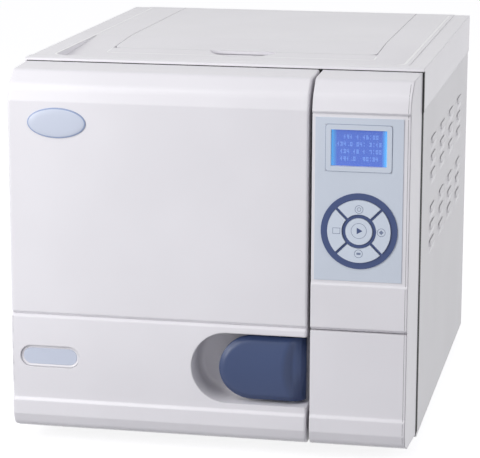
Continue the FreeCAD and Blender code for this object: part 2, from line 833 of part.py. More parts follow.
def make_top_cover():
    """Moulded cover: skirt, raised rim, sloping front basin, recessed seat for the lid, filler opening."""
    body = new_body("top_cover")
    pad_box(body, "-half_width", "half_width", "0", "cabinet_depth", "skirt_level", "cabinet_height")
    edges = [("0", "cabinet_height"), ("cabinet_depth", "cabinet_height")]
    round_edges(body, "x", edges, "cover_edge_round")
    # basin in front of the crease, flush with the lid's sloping front
    slope = [("slope_front", "cabinet_height + 1"), ("slope_front", slope_height("slope_front")),
             ("slope_start", "cabinet_height"), ("slope_start", "cabinet_height + 1")]
    cut_side(body, slope, "-slope_half_width", "slope_half_width")
    front_corners = [(sign + "slope_half_width", "slope_front") for sign in ("-", "")]
    round_edges(body, "z", front_corners, "slope_corner_round")
    # outer rim a little lower than the middle
    for sign in ("-", ""):
        sides = sorted([sign + "(half_width + 1)", sign + "(half_width - rim_width)"], key=value)
        cut_box(body, sides[0], sides[1], "slope_front", "cabinet_depth + 1",
                "cabinet_height - rim_step", "cabinet_height + 1")
    # recess that the lid lies in
    seat_front = "lid_front - lid_gap"
    seat = [(seat_front, "cabinet_height + 1"), (seat_front, slope_height(seat_front) + " - lid_seat"),
            ("slope_start", "cabinet_height - lid_seat"), ("cabinet_depth + 1", "cabinet_height - lid_seat"),
            ("cabinet_depth + 1", "cabinet_height + 1")]
    cut_side(body, seat, "-(lid_half_width + lid_gap)", "lid_half_width + lid_gap")
    # hollow underneath, in steps that follow the top
    wall = "cover_wall"
    deep = "cabinet_height - slope_drop - lid_seat - 2 * cover_wall - 4"
    inner = "half_width - cover_wall"
    cut_box(body, "-(%s)" % inner, inner, wall, "cabinet_depth - cover_wall", "skirt_level - 1", deep)
    for sign in ("-", ""):
        sides = sorted([sign + "(%s)" % inner, sign + "(slope_half_width + cover_wall)"], key=value)
        cut_box(body, sides[0], sides[1], wall, "cabinet_depth - cover_wall", deep + " - 1",
                "cabinet_height - cover_wall - rim_step")
    ribs = "lid_half_width + lid_gap + cover_wall"
    under = [(wall, deep + " - 1"), ("cabinet_depth - cover_wall", deep + " - 1"),
             ("cabinet_depth - cover_wall", "cabinet_height - cover_wall"),
             ("slope_start", "cabinet_height - cover_wall"),
             ("slope_front", slope_height("slope_front") + " - cover_wall"),
             (wall, slope_height("slope_front") + " - cover_wall")]
    for sign in ("-", ""):
        sides = sorted([sign + "(slope_half_width)", sign + "(%s)" % ribs], key=value)
        cut_side(body, under, sides[0], sides[1])
    front_stop = "lid_front - lid_gap - cover_wall"
    before = [(wall, deep + " - 1"), (front_stop, deep + " - 1"),
              (front_stop, slope_height(front_stop) + " - cover_wall"),
              ("slope_front", slope_height("slope_front") + " - cover_wall"),
              (wall, slope_height("slope_front") + " - cover_wall")]
    cut_side(body, before, "-(%s)" % ribs, ribs)
    trough_front = "lid_axis_back - lid_knuckle_radius - cover_wall - 2.5"
    below = [(front_stop, deep + " - 1"), (trough_front, deep + " - 1"),
             (trough_front, "cabinet_height - lid_seat - cover_wall"),
             ("slope_start", "cabinet_height - lid_seat - cover_wall"),
             (front_stop, slope_height(front_stop) + " - lid_seat - cover_wall")]
    cut_side(body, below, "-(lid_half_width + lid_gap)", "lid_half_width + lid_gap")
    # hinge trough, its end walls bored for the two pins
    trough_level = "lid_axis_level - lid_knuckle_radius - 2"
    cut_box(body, "-(lid_half_width + lid_gap)", "lid_half_width + lid_gap",
            trough_front + " + cover_wall", "cabinet_depth + 1", trough_level, "cabinet_height + 1")
    # filler opening
    cut_box(body, "-fill_half_width", "fill_half_width", "fill_front", "fill_back",
            "skirt_level", "cabinet_height")
    bore = new_sketch(body, "YZ", "-(lid_half_width + 12)")
    add_circle(bore, "lid_axis_back", "lid_axis_level", "lid_pin_radius + running_gap")
    pocket(body, bore, "2 * lid_half_width + 24", forwards=True)
    add_scoop(body)


def add_scoop(body):
    """Shallow finger scoop in front of the lid: a dish sunk in a thickened patch of the basin."""
    level = slope_height("lid_front - scoop_reach")
    patch_low = "(%s) - scoop_depth - cover_wall" % level
    pad_box(body, "-(scoop_half_width + cover_wall)", "scoop_half_width + cover_wall",
            "lid_front - lid_gap - scoop_reach - cover_wall", "lid_front - lid_gap - cover_wall / 2",
            patch_low, "(%s) - cover_wall / 2" % level)
    sketch = new_sketch(body, "XY", "(%s) - scoop_depth" % level)
    half = "scoop_half_width"
    back = "lid_front - lid_gap"
    bulge = "(scoop_half_width ^ 2 + scoop_reach ^ 2) / (2 * scoop_reach)"
    add_outline(sketch, [("-" + half, back, bulge), (half, back)])
    pocket(body, sketch, "scoop_depth + slope_drop + 2", forwards=True)


def make_tank_lid():
    """Lid over the water tank: it follows the cover's crease and turns on two knuckles at the back."""
    body = new_body("tank_lid")
    top = "cabinet_height"
    low = " - lid_thickness"
    back = "lid_back"
    outline = [("lid_front", slope_height("lid_front") + low), ("slope_start", top + low),
               (back, top + low), (back, top), ("slope_start", top),
               ("lid_front", slope_height("lid_front"))]
    pad_side(body, outline, "-lid_half_width", "lid_half_width")
    corners = [(sign + "lid_half_width", "lid_front") for sign in ("-", "")]
    round_edges(body, "z", corners, "lid_corner_round")
    length = "lid_knuckle_length"
    for sign in ("-", ""):
        ends = sorted([sign + "lid_half_width", sign + "(lid_half_width - %s)" % length], key=value)
        sketch = add_circle(new_sketch(body, "YZ", ends[0]), "lid_axis_back", "lid_axis_level",
                            "lid_knuckle_radius")
        pad(body, sketch, "(%s) - (%s)" % (ends[1], ends[0]))
        pad_box(body, ends[0], ends[1], "lid_axis_back - lid_knuckle_radius",
                "lid_axis_back + lid_knuckle_radius", "lid_axis_level", top + " - lid_thickness / 2")
    bore = new_sketch(body, "YZ", "-(lid_half_width + 1)")
    add_circle(bore, "lid_axis_back", "lid_axis_level", "lid_pin_radius + running_gap")
    pocket(body, bore, "2 * lid_half_width + 2", forwards=True)


def make_lid_pins():
    """Two steel pins pressed into the cover; the lid's knuckles turn on them."""
    body = new_body("lid_pins", "0", "lid_axis_back", "lid_axis_level")
    body.AllowCompound = True
    for sign in ("-", ""):
        ends = sorted([sign + "(lid_half_width + 8)", sign + "(lid_half_width - 16)"], key=value)
        sketch = add_circle(new_sketch(body, "YZ", ends[0]), "0", "0", "lid_pin_radius")
        pad(body, sketch, "(%s) - (%s)" % (ends[1], ends[0]))


# Front mouldings

def front_outline(wall, low, high):
    """Side outline of the front mouldings, drawn in by a wall, between two levels."""
    inset = "(%s)" % wall
    flat = "flat_face + " + inset
    proud = "front_face + " + inset
    back = "front_back" if wall == "0" else "front_back + 1"
    top = "front_top - " + inset
    corners = [(back, top), ("flat_face + nose_back + %s * 0.4" % inset, top + " - top_fall"),
               ("flat_face + nose_mid_back + %s * 0.8" % inset, top + " - nose_mid_drop"),
               (flat, "front_top - nose_low_drop")]
    if low == "bottom":
        seam = "seam_level + seam_half"
        corners += [(flat, seam), (flat + " + seam_depth", "seam_level"),
                    (proud + " + strip_setback / 2", "seam_level - seam_half", "strip_bulge_radius"),
                    (proud + " + strip_setback", "ledge_level + ledge_rise")]
        corners += toe_corners(inset)
        corners += [(back, "front_bottom + " + inset)]
    else:
        corners += [(flat, low), (back, low)]
    return corners


def toe_corners(inset):
    """The proud foot of the mouldings, from its ledge down to the underside."""
    proud = "front_face + " + inset
    return [(proud, "ledge_level"), (proud, "toe_level"),
            (proud + " + toe_mid_back", "toe_mid_level + %s * 0.4" % inset),
            (proud + " + toe_back", "front_bottom + " + inset)]


def make_door_cover():
    """Moulded door front: a shell open at the back, with the handle's scoop and the hinge slots."""
    body = new_body("door_cover")
    pad_side(body, front_outline("0", "bottom", "top"), "door_left", "door_right")
    round_edges(body, "x", [("flat_face + nose_back", "front_top - top_fall")], "nose_top_round")
    round_edges(body, "x", [("flat_face + nose_mid_back", "front_top - nose_mid_drop")], "nose_mid_round")
    round_edges(body, "x", [("front_face + toe_mid_back", "toe_mid_level")], "toe_round")
    soften_sides(body, ("door_left", "door_right"))
    cut_side(body, front_outline("front_wall", "bottom", "top"), "door_left + front_wall",
             "door_right - front_wall")
    add_handle_scoop(body)
    for level in ("hinge_low_level", "hinge_high_level"):
        cut_box(body, "door_left - 1", "door_left + front_wall + 1", "hinge_line - hinge_slot_front",
                "0", level + " - hinge_slot_height / 2", level + " + hinge_slot_height / 2")
    seat_badges(body)


def soften_sides(body, sides):
    """Round the front edges of a moulding's flat sides, apart from those at its back."""
    DOC.recompute()
    base = body.Tip
    names = []
    for number, edge in enumerate(base.Shape.Edges, start=1):
        points = [vertex.Point for vertex in edge.Vertexes]
        at_side = any(all(abs(p.x - value(side)) < 0.01 for p in points) for side in sides)
        at_back = all(p.y > value("front_back") - 0.01 for p in points)
        if at_side and not at_back:
            names.append("Edge%d" % number)
    feature = body.newObject("PartDesign::Fillet", body.Label + "_sides")
    feature.Base = (base, names)
    bind(feature, "Radius", "door_edge_round")
    finish_feature(body, feature)


def add_handle_scoop(body):
    """Stadium tub behind the handle, open at the door's right edge, with bores for the shaft."""
    half = "recess_height / 2"
    right = "door_right + " + half
    wall = "front_wall"

    def outer(sketch):
        add_slot(sketch, "recess_left - " + wall, right, "handle_level", "recess_height + 2 * " + wall)
    tub = new_sketch(body, "XZ", "recess_floor + " + wall)
    outer(tub)
    pad(body, tub, "recess_floor + front_wall - (front_face + strip_setback + front_wall / 5)")
    cut_box(body, "door_right", right + " + 10", "front_face - 5", "0", "front_bottom", "seam_level")
    sketch = new_sketch(body, "XZ", "front_face - 1")
    add_slot(sketch, "recess_left", right, "handle_level", "recess_height")
    pocket(body, sketch, "recess_depth + 1 + face_setback")
    DOC.recompute()
    base = body.Tip
    feature = body.newObject("PartDesign::Fillet", "door_cover_scoop_round")
    feature.Base = (base, floor_edges(base, value("recess_floor")))
    bind(feature, "Radius", "recess_floor_round")
    finish_feature(body, feature)
    cut_disc(body, "handle_side", "handle_line", "handle_level - recess_height / 2 - front_wall - 1",
             "handle_level + recess_height / 2 + front_wall + 1", "handle_shaft_radius + running_gap")


def floor_edges(feature, depth):
    """Edges of the scoop's floor, apart from the straight one at the open right end."""
    names = []
    for number, edge in enumerate(feature.Shape.Edges, start=1):
        points = [vertex.Point for vertex in edge.Vertexes]
        inside = value("recess_left") - 0.1 <= min(p.x for p in points)
        low = value("handle_level - recess_height / 2 - 0.1")
        high = value("handle_level + recess_height / 2 + 0.1")
        level = all(abs(p.y - depth) < 0.01 and low < p.z < high for p in points)
        at_end = all(abs(p.x - value("door_right")) < 0.01 for p in points)
        if level and inside and not at_end:
            names.append("Edge%d" % number)
    return names


def seat_badges(body):
    """Shallow seats for the two bare plates on the door's face."""
    sketch = new_sketch(body, "XZ", "front_face - 1")
    add_slot(sketch, "plate_left - seat_gap", "plate_left + plate_length + seat_gap", "plate_level",
             "plate_height + 2 * seat_gap")
    pocket(body, sketch, "1 + strip_setback + badge_sheet * 0.6")


def make_inner_cover():
    """Flat plate that closes the door's back, with openings for the pressure lid and the keeper."""
    body = new_body("door_inner_cover")
    margin = "front_wall + inner_cover_margin"
    left = "door_left + inner_cover_left"
    pad_box(body, left, "door_right - (%s)" % margin, "front_back - inner_cover_sheet", "front_back",
            "front_bottom + " + margin, "front_top - top_fall - " + margin)

    def draw(sketch):
        add_circle(sketch, "chamber_offset", "chamber_level", "lid_disc_radius + 3")
        add_circle(sketch, "keeper_side", "latch_level", "keeper_head_radius + 6")
    cut_front(body, draw, "front_back - inner_cover_sheet - 1", "1")


def hinge_ears():
    """Low and high level of each of the door's four hinge ears."""
    half = "hinge_plate / 2 + seat_gap"
    pairs = []
    for level in ("hinge_low_level", "hinge_high_level"):
        pairs.append((level + " + " + half, level + " + %s + hinge_ear" % half))
        pairs.append((level + " - (%s) - hinge_ear" % half, level + " - (%s)" % half))
    return pairs


def make_door_frame():
    """Welded steel frame in the door: hinge post with ears, and the crossbar that carries the lid."""
    body = new_body("door_frame")
    left = "hinge_side + hinge_eye_radius + 3"
    back = "disc_front - seat_gap"
    front = back + " - post_depth"
    low = "hinge_low_level - 22"
    high = "hinge_high_level + 22"
    pad_box(body, left, left + " + post_width", front, back, low, high)
    cut_box(body, left + " + 2", left + " + post_width - 2", front + " + 2", back + " + 1", low + " + 2",
            high + " - 2")
    # end plates that are screwed to the inner cover
    seat = "front_back - inner_cover_sheet - seat_gap"
    for ends in ((low, low + " + post_tab"), (high + " - post_tab", high)):
        pad_box(body, left, left + " + post_width", back + " - 2", seat, *ends)
    bar_low = "chamber_level - crossbar_height / 2"
    bar_high = "chamber_level + crossbar_height / 2"
    right = "chamber_offset + lid_disc_radius - 30"
    pad_box(body, left + " + post_width - 2", right, "crossbar_front", "crossbar_back", bar_low, bar_high)
    pad_box(body, left, left + " + post_width", "crossbar_front", front + " + 2", bar_low, bar_high)
    for low_ear, high_ear in hinge_ears():
        pad_disc(body, "hinge_side", "hinge_line", low_ear, high_ear, "hinge_eye_radius")
        pad_box(body, "hinge_side", left + " + 1", "hinge_line - hinge_eye_radius",
                "hinge_line + hinge_eye_radius", low_ear, high_ear)
    cut_disc(body, "hinge_side", "hinge_line", low, high, "hinge_pin_radius + running_gap")
    hole = add_circle(new_sketch(body, "XZ", "crossbar_front - 1"), "chamber_offset", "chamber_level",
                      "lid_stud_radius + running_gap")
    pocket(body, hole, "crossbar_depth + 2")


def make_hinges():
    """Fixed hinge brackets on the bulkhead, and the pins that the door's ears hold."""
    names = (("lower", "hinge_low_level"), ("upper", "hinge_high_level"))
    for name, level in names:
        body = new_body("hinge_bracket_" + name, "hinge_side", "hinge_line", level)
        half = "hinge_plate_width / 2"
        low, high = "-hinge_plate / 2", "hinge_plate / 2"
        reach = "hinge_forward + bulkhead_sheet"
        pad_disc(body, "0", "0", low, high, "hinge_eye_radius")
        pad_box(body, "-" + half, half, "0", reach + " + 3", low, high)
        pad_box(body, "-(%s)" % half, half, reach, reach + " + 3", "-16", "16")
        cut_disc(body, "0", "0", low, high, "hinge_pin_radius + running_gap")
    pins = new_body("hinge_pins", "hinge_side", "hinge_line", "hinge_low_level")
    pins.AllowCompound = True
    tall = "hinge_plate / 2 + seat_gap + hinge_ear"
    head = tall + " + seat_gap / 3"
    pin = turn_upright(pins, [("0", "-(%s)" % tall), ("hinge_pin_radius", "-(%s)" % tall),
                              ("hinge_pin_radius", head), ("hinge_pin_radius + 2", head),
                              ("hinge_pin_radius + 2", head + " + 2"), ("0", head + " + 2")])
    repeat(pins, [pin], "Z", "hinge_high_level - hinge_low_level", 2)


def make_pressure_lid():
    """Spun steel pressure lid with a groove for the gasket and a stud through the crossbar."""
    body = new_body("pressure_lid", "chamber_offset", "0", "chamber_level")
    rim = "lid_disc_radius"
    groove_in = "gasket_radius - gasket_width / 2"
    groove_out = "gasket_radius + gasket_width / 2"
    sink = "disc_back - gasket_sink"
    turn(body, [("0", "crossbar_front - 8"), ("lid_stud_radius", "crossbar_front - 8"),
                ("lid_stud_radius", "crossbar_back"), ("lid_boss_radius", "crossbar_back"),
                (rim + " - 6", "disc_front"), (rim, "disc_front + 2"), (rim, "disc_back"),
                (groove_out, "disc_back"), (groove_out, sink), (groove_in, sink),
                (groove_in, "disc_back"), (groove_in + " - 3", "disc_back"),
                (groove_in + " - 14", "disc_back - 4"), ("lid_boss_radius", "disc_back - lid_dome"),
                ("0", "disc_back - lid_dome")])


def make_gasket():
    """Silicone ring seated in the pressure lid's groove, just short of the chamber's flange."""
    body = new_body("door_gasket", "chamber_offset", "0", "chamber_level")
    inner = "gasket_radius - gasket_width / 2 + seat_gap"
    outer = "gasket_radius + gasket_width / 2 - seat_gap"
    base = "disc_back - gasket_sink"
    turn(body, [(inner, base), (outer, base), (outer, "gasket_back - 2"), (outer + " - 2", "gasket_back"),
                (inner + " + 2", "gasket_back"), (inner, "gasket_back - 2")])


def make_badges():
    """Two bare plates: an oval one high on the door and a slot-shaped one in its lower strip."""
    oval = DOC.addObject("Part::Ellipse", "oval_edge")
    bind(oval, "MajorRadius", "oval_half_width")
    bind(oval, "MinorRadius", "oval_half_height")
    plate = DOC.addObject("Part::Extrusion", "badge_oval")
    plate.Base = oval
    plate.DirMode = "Custom"
    plate.Dir = Vector(0, 0, 1)
    plate.Solid = True
    bind(plate, "LengthFwd", "badge_sheet")
    plate.Label = "badge_oval"
    plate.Placement = FreeCAD.Placement(Vector(), FreeCAD.Rotation(Vector(1, 0, 0), 90))
    place(plate, "oval_offset", "flat_face", "oval_level")
    PARTS.append(plate)
    body = new_body("badge_plate")
    sketch = new_sketch(body, "XZ", "front_face + strip_setback + badge_sheet * 0.6")
    add_slot(sketch, "plate_left", "plate_left + plate_length", "plate_level", "plate_height")
    pad(body, sketch, "badge_sheet")


# Handle and latch

def make_handle():
    """Lever: a grip with a round left end, bevelled all round, dished away towards its barrel."""
    body = new_body("handle_lever", "handle_side", "handle_line", "handle_level")
    face = "flat_face + paddle_setback - handle_line"
    left = "paddle_left - handle_side"
    right = "handle_barrel_radius - paddle_inset"
    half = "paddle_height / 2"
    middle = "%s + %s" % (left, half)
    sketch = new_sketch(body, "XZ", "(%s) + paddle_thickness" % face)
    add_outline(sketch, [(middle, "-" + half), (right, "-" + half), (right, half),
                         (middle, half, half + " * 1.000001")])
    pad(body, sketch, "paddle_thickness")
    DOC.recompute()
    names = []
    for number, edge in enumerate(body.Tip.Shape.Edges, start=1):
        if all(abs(vertex.Point.y - value(face)) < 0.01 for vertex in edge.Vertexes):
            names.append("Edge%d" % number)
    bevel_edges(body, names, "paddle_edge")
    pad_disc(body, "0", "0", "-" + half, half, "handle_barrel_radius")
    dish_handle(body, face)
    cut_disc(body, "0", "0", "-%s - 1" % half, half + " + 1", "handle_shaft_radius")


def dish_handle(body, face):
    """Cut the curved, receding end of the grip with a cone about an axis out of the door."""
    sketch = new_sketch(body, "XY")
    middle = "crease_left + crease_radius - handle_side"
    deep = "(%s) + crease_depth" % face
    add_outline(sketch, [(middle, "(%s) - 2" % face), (middle + " - crease_radius", "(%s) - 2" % face),
                         (middle + " - crease_radius", face),
                         (middle + " - crease_radius + crease_run", deep), (middle, deep)])
    axis = sketch.addGeometry(Part.LineSegment(Vector(value(middle), -60, 0), Vector(value(middle), 0, 0)),
                              True)
    fix_point(sketch, axis, 1, middle, "-60")
    fix_point(sketch, axis, 2, middle, "0")
    feature = body.newObject("PartDesign::Groove", "handle_lever_dish")
    feature.Profile = sketch
    feature.ReferenceAxis = (sketch, ["Axis0"])
    feature.Angle = 360.0
    finish_feature(body, feature)


def make_handle_shaft():
    """Steel shaft through the lever's barrel, turning in the door; its lower end carries the hook."""
    body = new_body("handle_shaft", "handle_side", "handle_line", "handle_level")
    half = "recess_height / 2 + front_wall"
    bottom = "latch_level - handle_level - latch_plate / 2 - 4"
    pad_disc(body, "0", "0", bottom, half + " + 5", "handle_shaft_radius")


def make_latch_hook():
    """Steel hook on the shaft's lower end; its finger lies beside the keeper's head."""
    body = new_body("latch_hook", "handle_side", "handle_line", "latch_level")
    low, high = "-latch_plate / 2", "latch_plate / 2"
    finger_right = "-keeper_offset - keeper_head_radius - latch_clearance"
    finger_left = finger_right + " - 7"
    arm_back = "keeper_front - handle_line - 3"
    arm_front = arm_back + " - 8"
    finger_back = "keeper_front - handle_line + keeper_head + 9"
    pad_disc(body, "0", "0", low, high, "handle_shaft_radius + 6")
    sketch = new_sketch(body, "XY", low)
    add_outline(sketch, [("0", "-handle_shaft_radius - 4"), ("4", "handle_shaft_radius + 2"),
                         (finger_right + " + 4", arm_back), (finger_right, arm_back + " + 3"),
                         (finger_right, finger_back), (finger_left, finger_back),
                         (finger_left, arm_front), (finger_left + " + 5", arm_front + " - 3")])
    pad(body, sketch, "latch_plate")
    cut_disc(body, "0", "0", low, high, "handle_shaft_radius")


def make_keeper():
    """Headed stud that the hook takes hold of, riveted in the bulkhead."""
    body = new_body("latch_keeper", "keeper_side", "0", "latch_level")
    turn(body, [("0", "keeper_front"), ("keeper_head_radius", "keeper_front"),
                ("keeper_head_radius", "keeper_front + keeper_head - 1"),
                ("keeper_neck_radius", "keeper_front + keeper_head"),
                ("keeper_neck_radius", "bulkhead_sheet + 4"), ("0", "bulkhead_sheet + 4")])


# Chamber

def make_chamber():
    """Drawn steel vessel with a dished back end and a machined flange round its mouth."""
    body = new_body("chamber_vessel", "chamber_offset", "0", "chamber_level")
    inner = "chamber_radius"
    outer = "vessel_radius"
    length = "chamber_length"
    mouth = "flange_front + flange_thickness"
    bend = "((%s) ^ 2 + (%s) ^ 2) / (2 * (%s))"
    dish = "dish_depth"
    dish_out = "dish_depth + chamber_wall"
    turn(body, [("0", length + " + " + dish, "-" + bend % (inner, dish, dish)), (inner, length),
                (inner, "flange_front"), ("flange_radius", "flange_front"), ("flange_radius", mouth),
                (outer, mouth), (outer, length, bend % (outer, dish_out, dish_out)),
                ("0", length + " + " + dish_out)])


def make_heater():
    """Band heater clamped round the vessel, with its terminal lugs on top."""
    body = new_body("band_heater", "chamber_offset", "heater_front", "chamber_level")
    inner = "vessel_radius + seat_gap"
    turn(body, [(inner, "0"), ("heater_radius", "0"), ("heater_radius", "heater_length"),
                (inner, "heater_length")])
    cut_box(body, "-4", "4", "-1", "heater_length + 1", "-heater_radius - 1", "-chamber_radius")


def make_jacket():
    """Insulating jacket round the vessel."""
    body = new_body("insulation_jacket", "chamber_offset", "jacket_front", "chamber_level")
    turn(body, [("jacket_inner", "0"), ("jacket_radius", "0"), ("jacket_radius", "jacket_length"),
                ("jacket_inner", "jacket_length")])


def make_saddles():
    """Two folded steel saddles that stand on the pan and carry the jacketed chamber."""
    for index, label in enumerate(("front_saddle", "rear_saddle")):
        body = new_body(label, "chamber_offset", "saddle_front + %d * saddle_spacing" % index, "pan_sheet")
        half = "saddle_half_width"
        pad_box(body, "-" + half, half, "0", "saddle_sheet", "0", "saddle_height")
        pad_box(body, "-" + half, half, "0", "saddle_foot", "0", "saddle_sheet")

        def draw(sketch):
            add_circle(sketch, "0", "chamber_level - pan_sheet", "jacket_radius + seat_gap")
        cut_front(body, draw, "-1", "saddle_foot")


def make_rack():
    """Folded steel rack that stands in the chamber: two sides with rails, joined by cross strips."""
    body = new_body("tray_rack", "chamber_offset", "rack_front", "chamber_level")
    half = "rack_half_width"
    tall = "rack_half_height"
    pad_box(body, "-" + half, "-%s + rack_sheet" % half, "0", "rack_length", "-" + tall, tall)
    pad_box(body, half + " - rack_sheet", half, "0", "rack_length", "-" + tall, tall)
    for start in ("0", "rack_length - rack_strip"):
        end = start + " + rack_strip"
        pad_box(body, "-" + half, half, start, end, "-" + tall, "-%s + rack_sheet" % tall)
        pad_box(body, "-" + half, half, start, end, "%s - rack_sheet" % tall, tall)
    for level in tray_levels():
        low = level + " - rack_sheet"
        pad_box(body, "-" + half, "-%s + rack_rail" % half, "0", "rack_length", low, level)
        pad_box(body, half + " - rack_rail", half, "0", "rack_length", low, level)


def tray_levels():
    """Levels of the rails that the three trays rest on, from the chamber's axis."""
    return ["tray_low + %d * tray_pitch" % index for index in range(3)]


def make_trays():
    """Three pressed instrument trays with drain slots, each lying on its pair of rails."""
    for index, level in enumerate(tray_levels(), start=1):
        body = new_body("tray_%d" % index, "chamber_offset", "rack_front + 4",
                        "chamber_level + " + level)
        half = "tray_half_width"
        length = "rack_length - 8"
        pad_box(body, "-(%s)" % half, half, "0", length, "0", "tray_height")
        inner = half + " - tray_wall"
        cut_box(body, "-(%s)" % inner, inner, "tray_wall", length + " - tray_wall", "tray_wall",
                "tray_height")
        slot = new_sketch(body, "XY")
        add_slot(slot, "-tray_slot_length / 2", "tray_slot_length / 2", "30", "tray_slot_width")
        cut = pocket(body, slot, "tray_wall", forwards=True)
        repeat(body, [cut], "Y", "tray_slot_pitch", 8)


# Control column

def column_outline(wall, low, high):
    """Side outline of one section of the control column between two levels."""
    inset = "(%s)" % wall
    flat = "flat_face + " + inset
    back = "front_back" if wall == "0" else "front_back + 1"
    if high == "top":
        top = "front_top - " + inset
        corners = [(back, top), ("flat_face + nose_back + %s * 0.4" % inset, top + " - top_fall"),
                   ("flat_face + nose_mid_back + %s * 0.8" % inset, top + " - nose_mid_drop"),
                   (flat, "groove_level + groove_half"), (flat + " + groove_depth", "groove_level"),
                   (flat + " + label_recess", "groove_level - groove_half"),
                   (flat + " + label_recess", "label_low"), (flat, "label_low - label_recess"),
                   (flat, "seam_level + seam_half"), (flat + " + seam_depth", "seam_level + " + inset),
                   (back, "seam_level + " + inset)]
        return corners
    proud = "front_face + " + inset
    corners = [(back, "seam_level - seat_gap * 4 - " + inset),
               (proud + " + strip_setback", "seam_level - seat_gap * 4 - " + inset),
               (proud + " + strip_setback", "ledge_level + ledge_rise")]
    return corners + toe_corners(inset) + [(back, "front_bottom + " + inset)]


def draft_right(body, low, high):
    """Trim the column's right side to its draft: narrower at the front than at the back."""
    sketch = new_sketch(body, "XY", low)
    add_outline(sketch, [("column_front_right", "front_face - 1"), ("column_back_right + 5", "front_face - 1"),
                         ("column_back_right + 5", "1"), ("column_back_right", "1")])
    pocket(body, sketch, "(%s) - (%s)" % (high, low), forwards=True)


def make_column_bezel():
    """Upper moulding of the control column: nose, label recess, window and keypad openings."""
    body = new_body("column_bezel")
    right = "column_back_right"
    pad_side(body, column_outline("0", "seam", "top"), "column_left", right)
    round_edges(body, "x", [("flat_face + nose_back", "front_top - top_fall")], "nose_top_round")
    round_edges(body, "x", [("flat_face + nose_mid_back", "front_top - nose_mid_drop")], "nose_mid_round")
    draft_right(body, "seam_level - 5", "front_top + 5")
    cut_side(body, column_outline("front_wall", "seam", "top"), "column_left + front_wall",
             "column_front_right - front_wall")
    # opening for the display and a round one under each key's stem
    def draw(sketch):
        frame = "window_frame"
        add_rectangle(sketch, "window_left + " + frame, "window_left + window_width - " + frame,
                      "window_low + " + frame, "window_low + window_height - " + frame)
        for across, up in key_centres():
            add_circle(sketch, across, up, "key_stem_radius + key_stem_gap")
    cut_front(body, draw, "label_face - 1", "label_face + front_wall + 1")
    standoffs(body)
    seat_tabs(body, ("seam_level + 20", "hinge_high_level"))


def seat_tabs(body, levels):
    """Tabs inside the column's side walls that reach back and seat the moulding on the bulkhead."""
    for inner, far in (("column_left + front_wall", "column_left + front_wall + 3"),
                       ("column_front_right - front_wall - 3", "column_front_right - front_wall")):
        outer = inner + " - 1" if "left" in inner else inner
        end = far if "left" in inner else far + " + 1"
        for level in levels:
            pad_box(body, outer, end, "front_back - 6", "-seat_gap / 3", level, level + " + seat_tab")


def standoffs(body):
    """Four pillars behind the label recess that carry the control board."""
    sketch = new_sketch(body, "XZ", "board_front - seat_gap")
    for across in ("column_left + 14", "column_front_right - 16"):
        for up in ("label_low + 14", "label_high - 14"):
            add_circle(sketch, across, up, "standoff_radius")
    pad(body, sketch, "board_back - seat_gap - front_wall / 2")


def key_centres():
    """Stem places of the five keys: the middle, then the top, right, bottom and left."""
    ring = "(keypad_inner_radius + keypad_radius - keypad_ring) / 2"
    middle = ("keypad_centre", "keypad_level")
    return [middle, (middle[0], middle[1] + " + " + ring), (middle[0] + " + " + ring, middle[1]),
            (middle[0], middle[1] + " - " + ring), (middle[0] + " - " + ring, middle[1])]


def make_service_panel():
    """Lower moulding of the control column, in front of the filter and the drains."""
    body = new_body("service_panel")
    pad_side(body, column_outline("0", "bottom", "seam"), "column_left", "column_back_right")
    round_edges(body, "x", [("front_face + toe_mid_back", "toe_mid_level")], "toe_round")
    draft_right(body, "-5", "seam_level + 5")
    cut_side(body, column_outline("front_wall", "bottom", "seam"), "column_left + front_wall",
             "column_front_right - front_wall")
    seat_tabs(body, ("toe_level", "seam_level - seat_tab - 10"))


def make_overlay():
    """Printed label sheet in the column's recess, cut out for the window and the keys."""
    body = new_body("control_overlay")
    pad_box(body, "label_left", "label_right", "label_face - label_sheet", "label_face",
            "label_low + label_margin", "label_high - 1")

    def draw(sketch):
        add_rectangle(sketch, "window_left - seat_gap", "window_left + window_width + seat_gap",
                      "window_low - seat_gap", "window_low + window_height + seat_gap")
        add_circle(sketch, "keypad_centre", "keypad_level", "keypad_radius - keypad_ring / 2")
    cut_front(body, draw, "label_face - label_sheet - 1", "label_face + 1")


def make_window():
    """Framed display window let into the label, and its clear lens."""
    frame = new_body("window_frame", "window_left", "label_face", "window_low")
    across, up = "window_width", "window_height"
    pad_box(frame, "0", across, "-label_sheet - window_proud", "0", "0", up)
    corners = [(a, b) for a in ("0", across) for b in ("0", up)]
    front_corners(frame, corners, "3")
    rim = "window_frame"

    def draw(sketch):
        add_rectangle(sketch, rim, across + " - " + rim, rim, "%s - %s" % (up, rim))
    cut_front(frame, draw, "-10", "10")
    lens = new_body("window_lens", "window_left", "label_face", "window_low")
    gap = rim + " + running_gap"
    pad_box(lens, gap, "%s - (%s)" % (across, gap), "-label_sheet", "-label_sheet + window_lens",
            gap, "%s - (%s)" % (up, gap))


def front_corners(body, corners, radius):
    """Round a front-facing plate's corners, given as places seen from the front."""
    round_edges(body, "y", corners, radius)


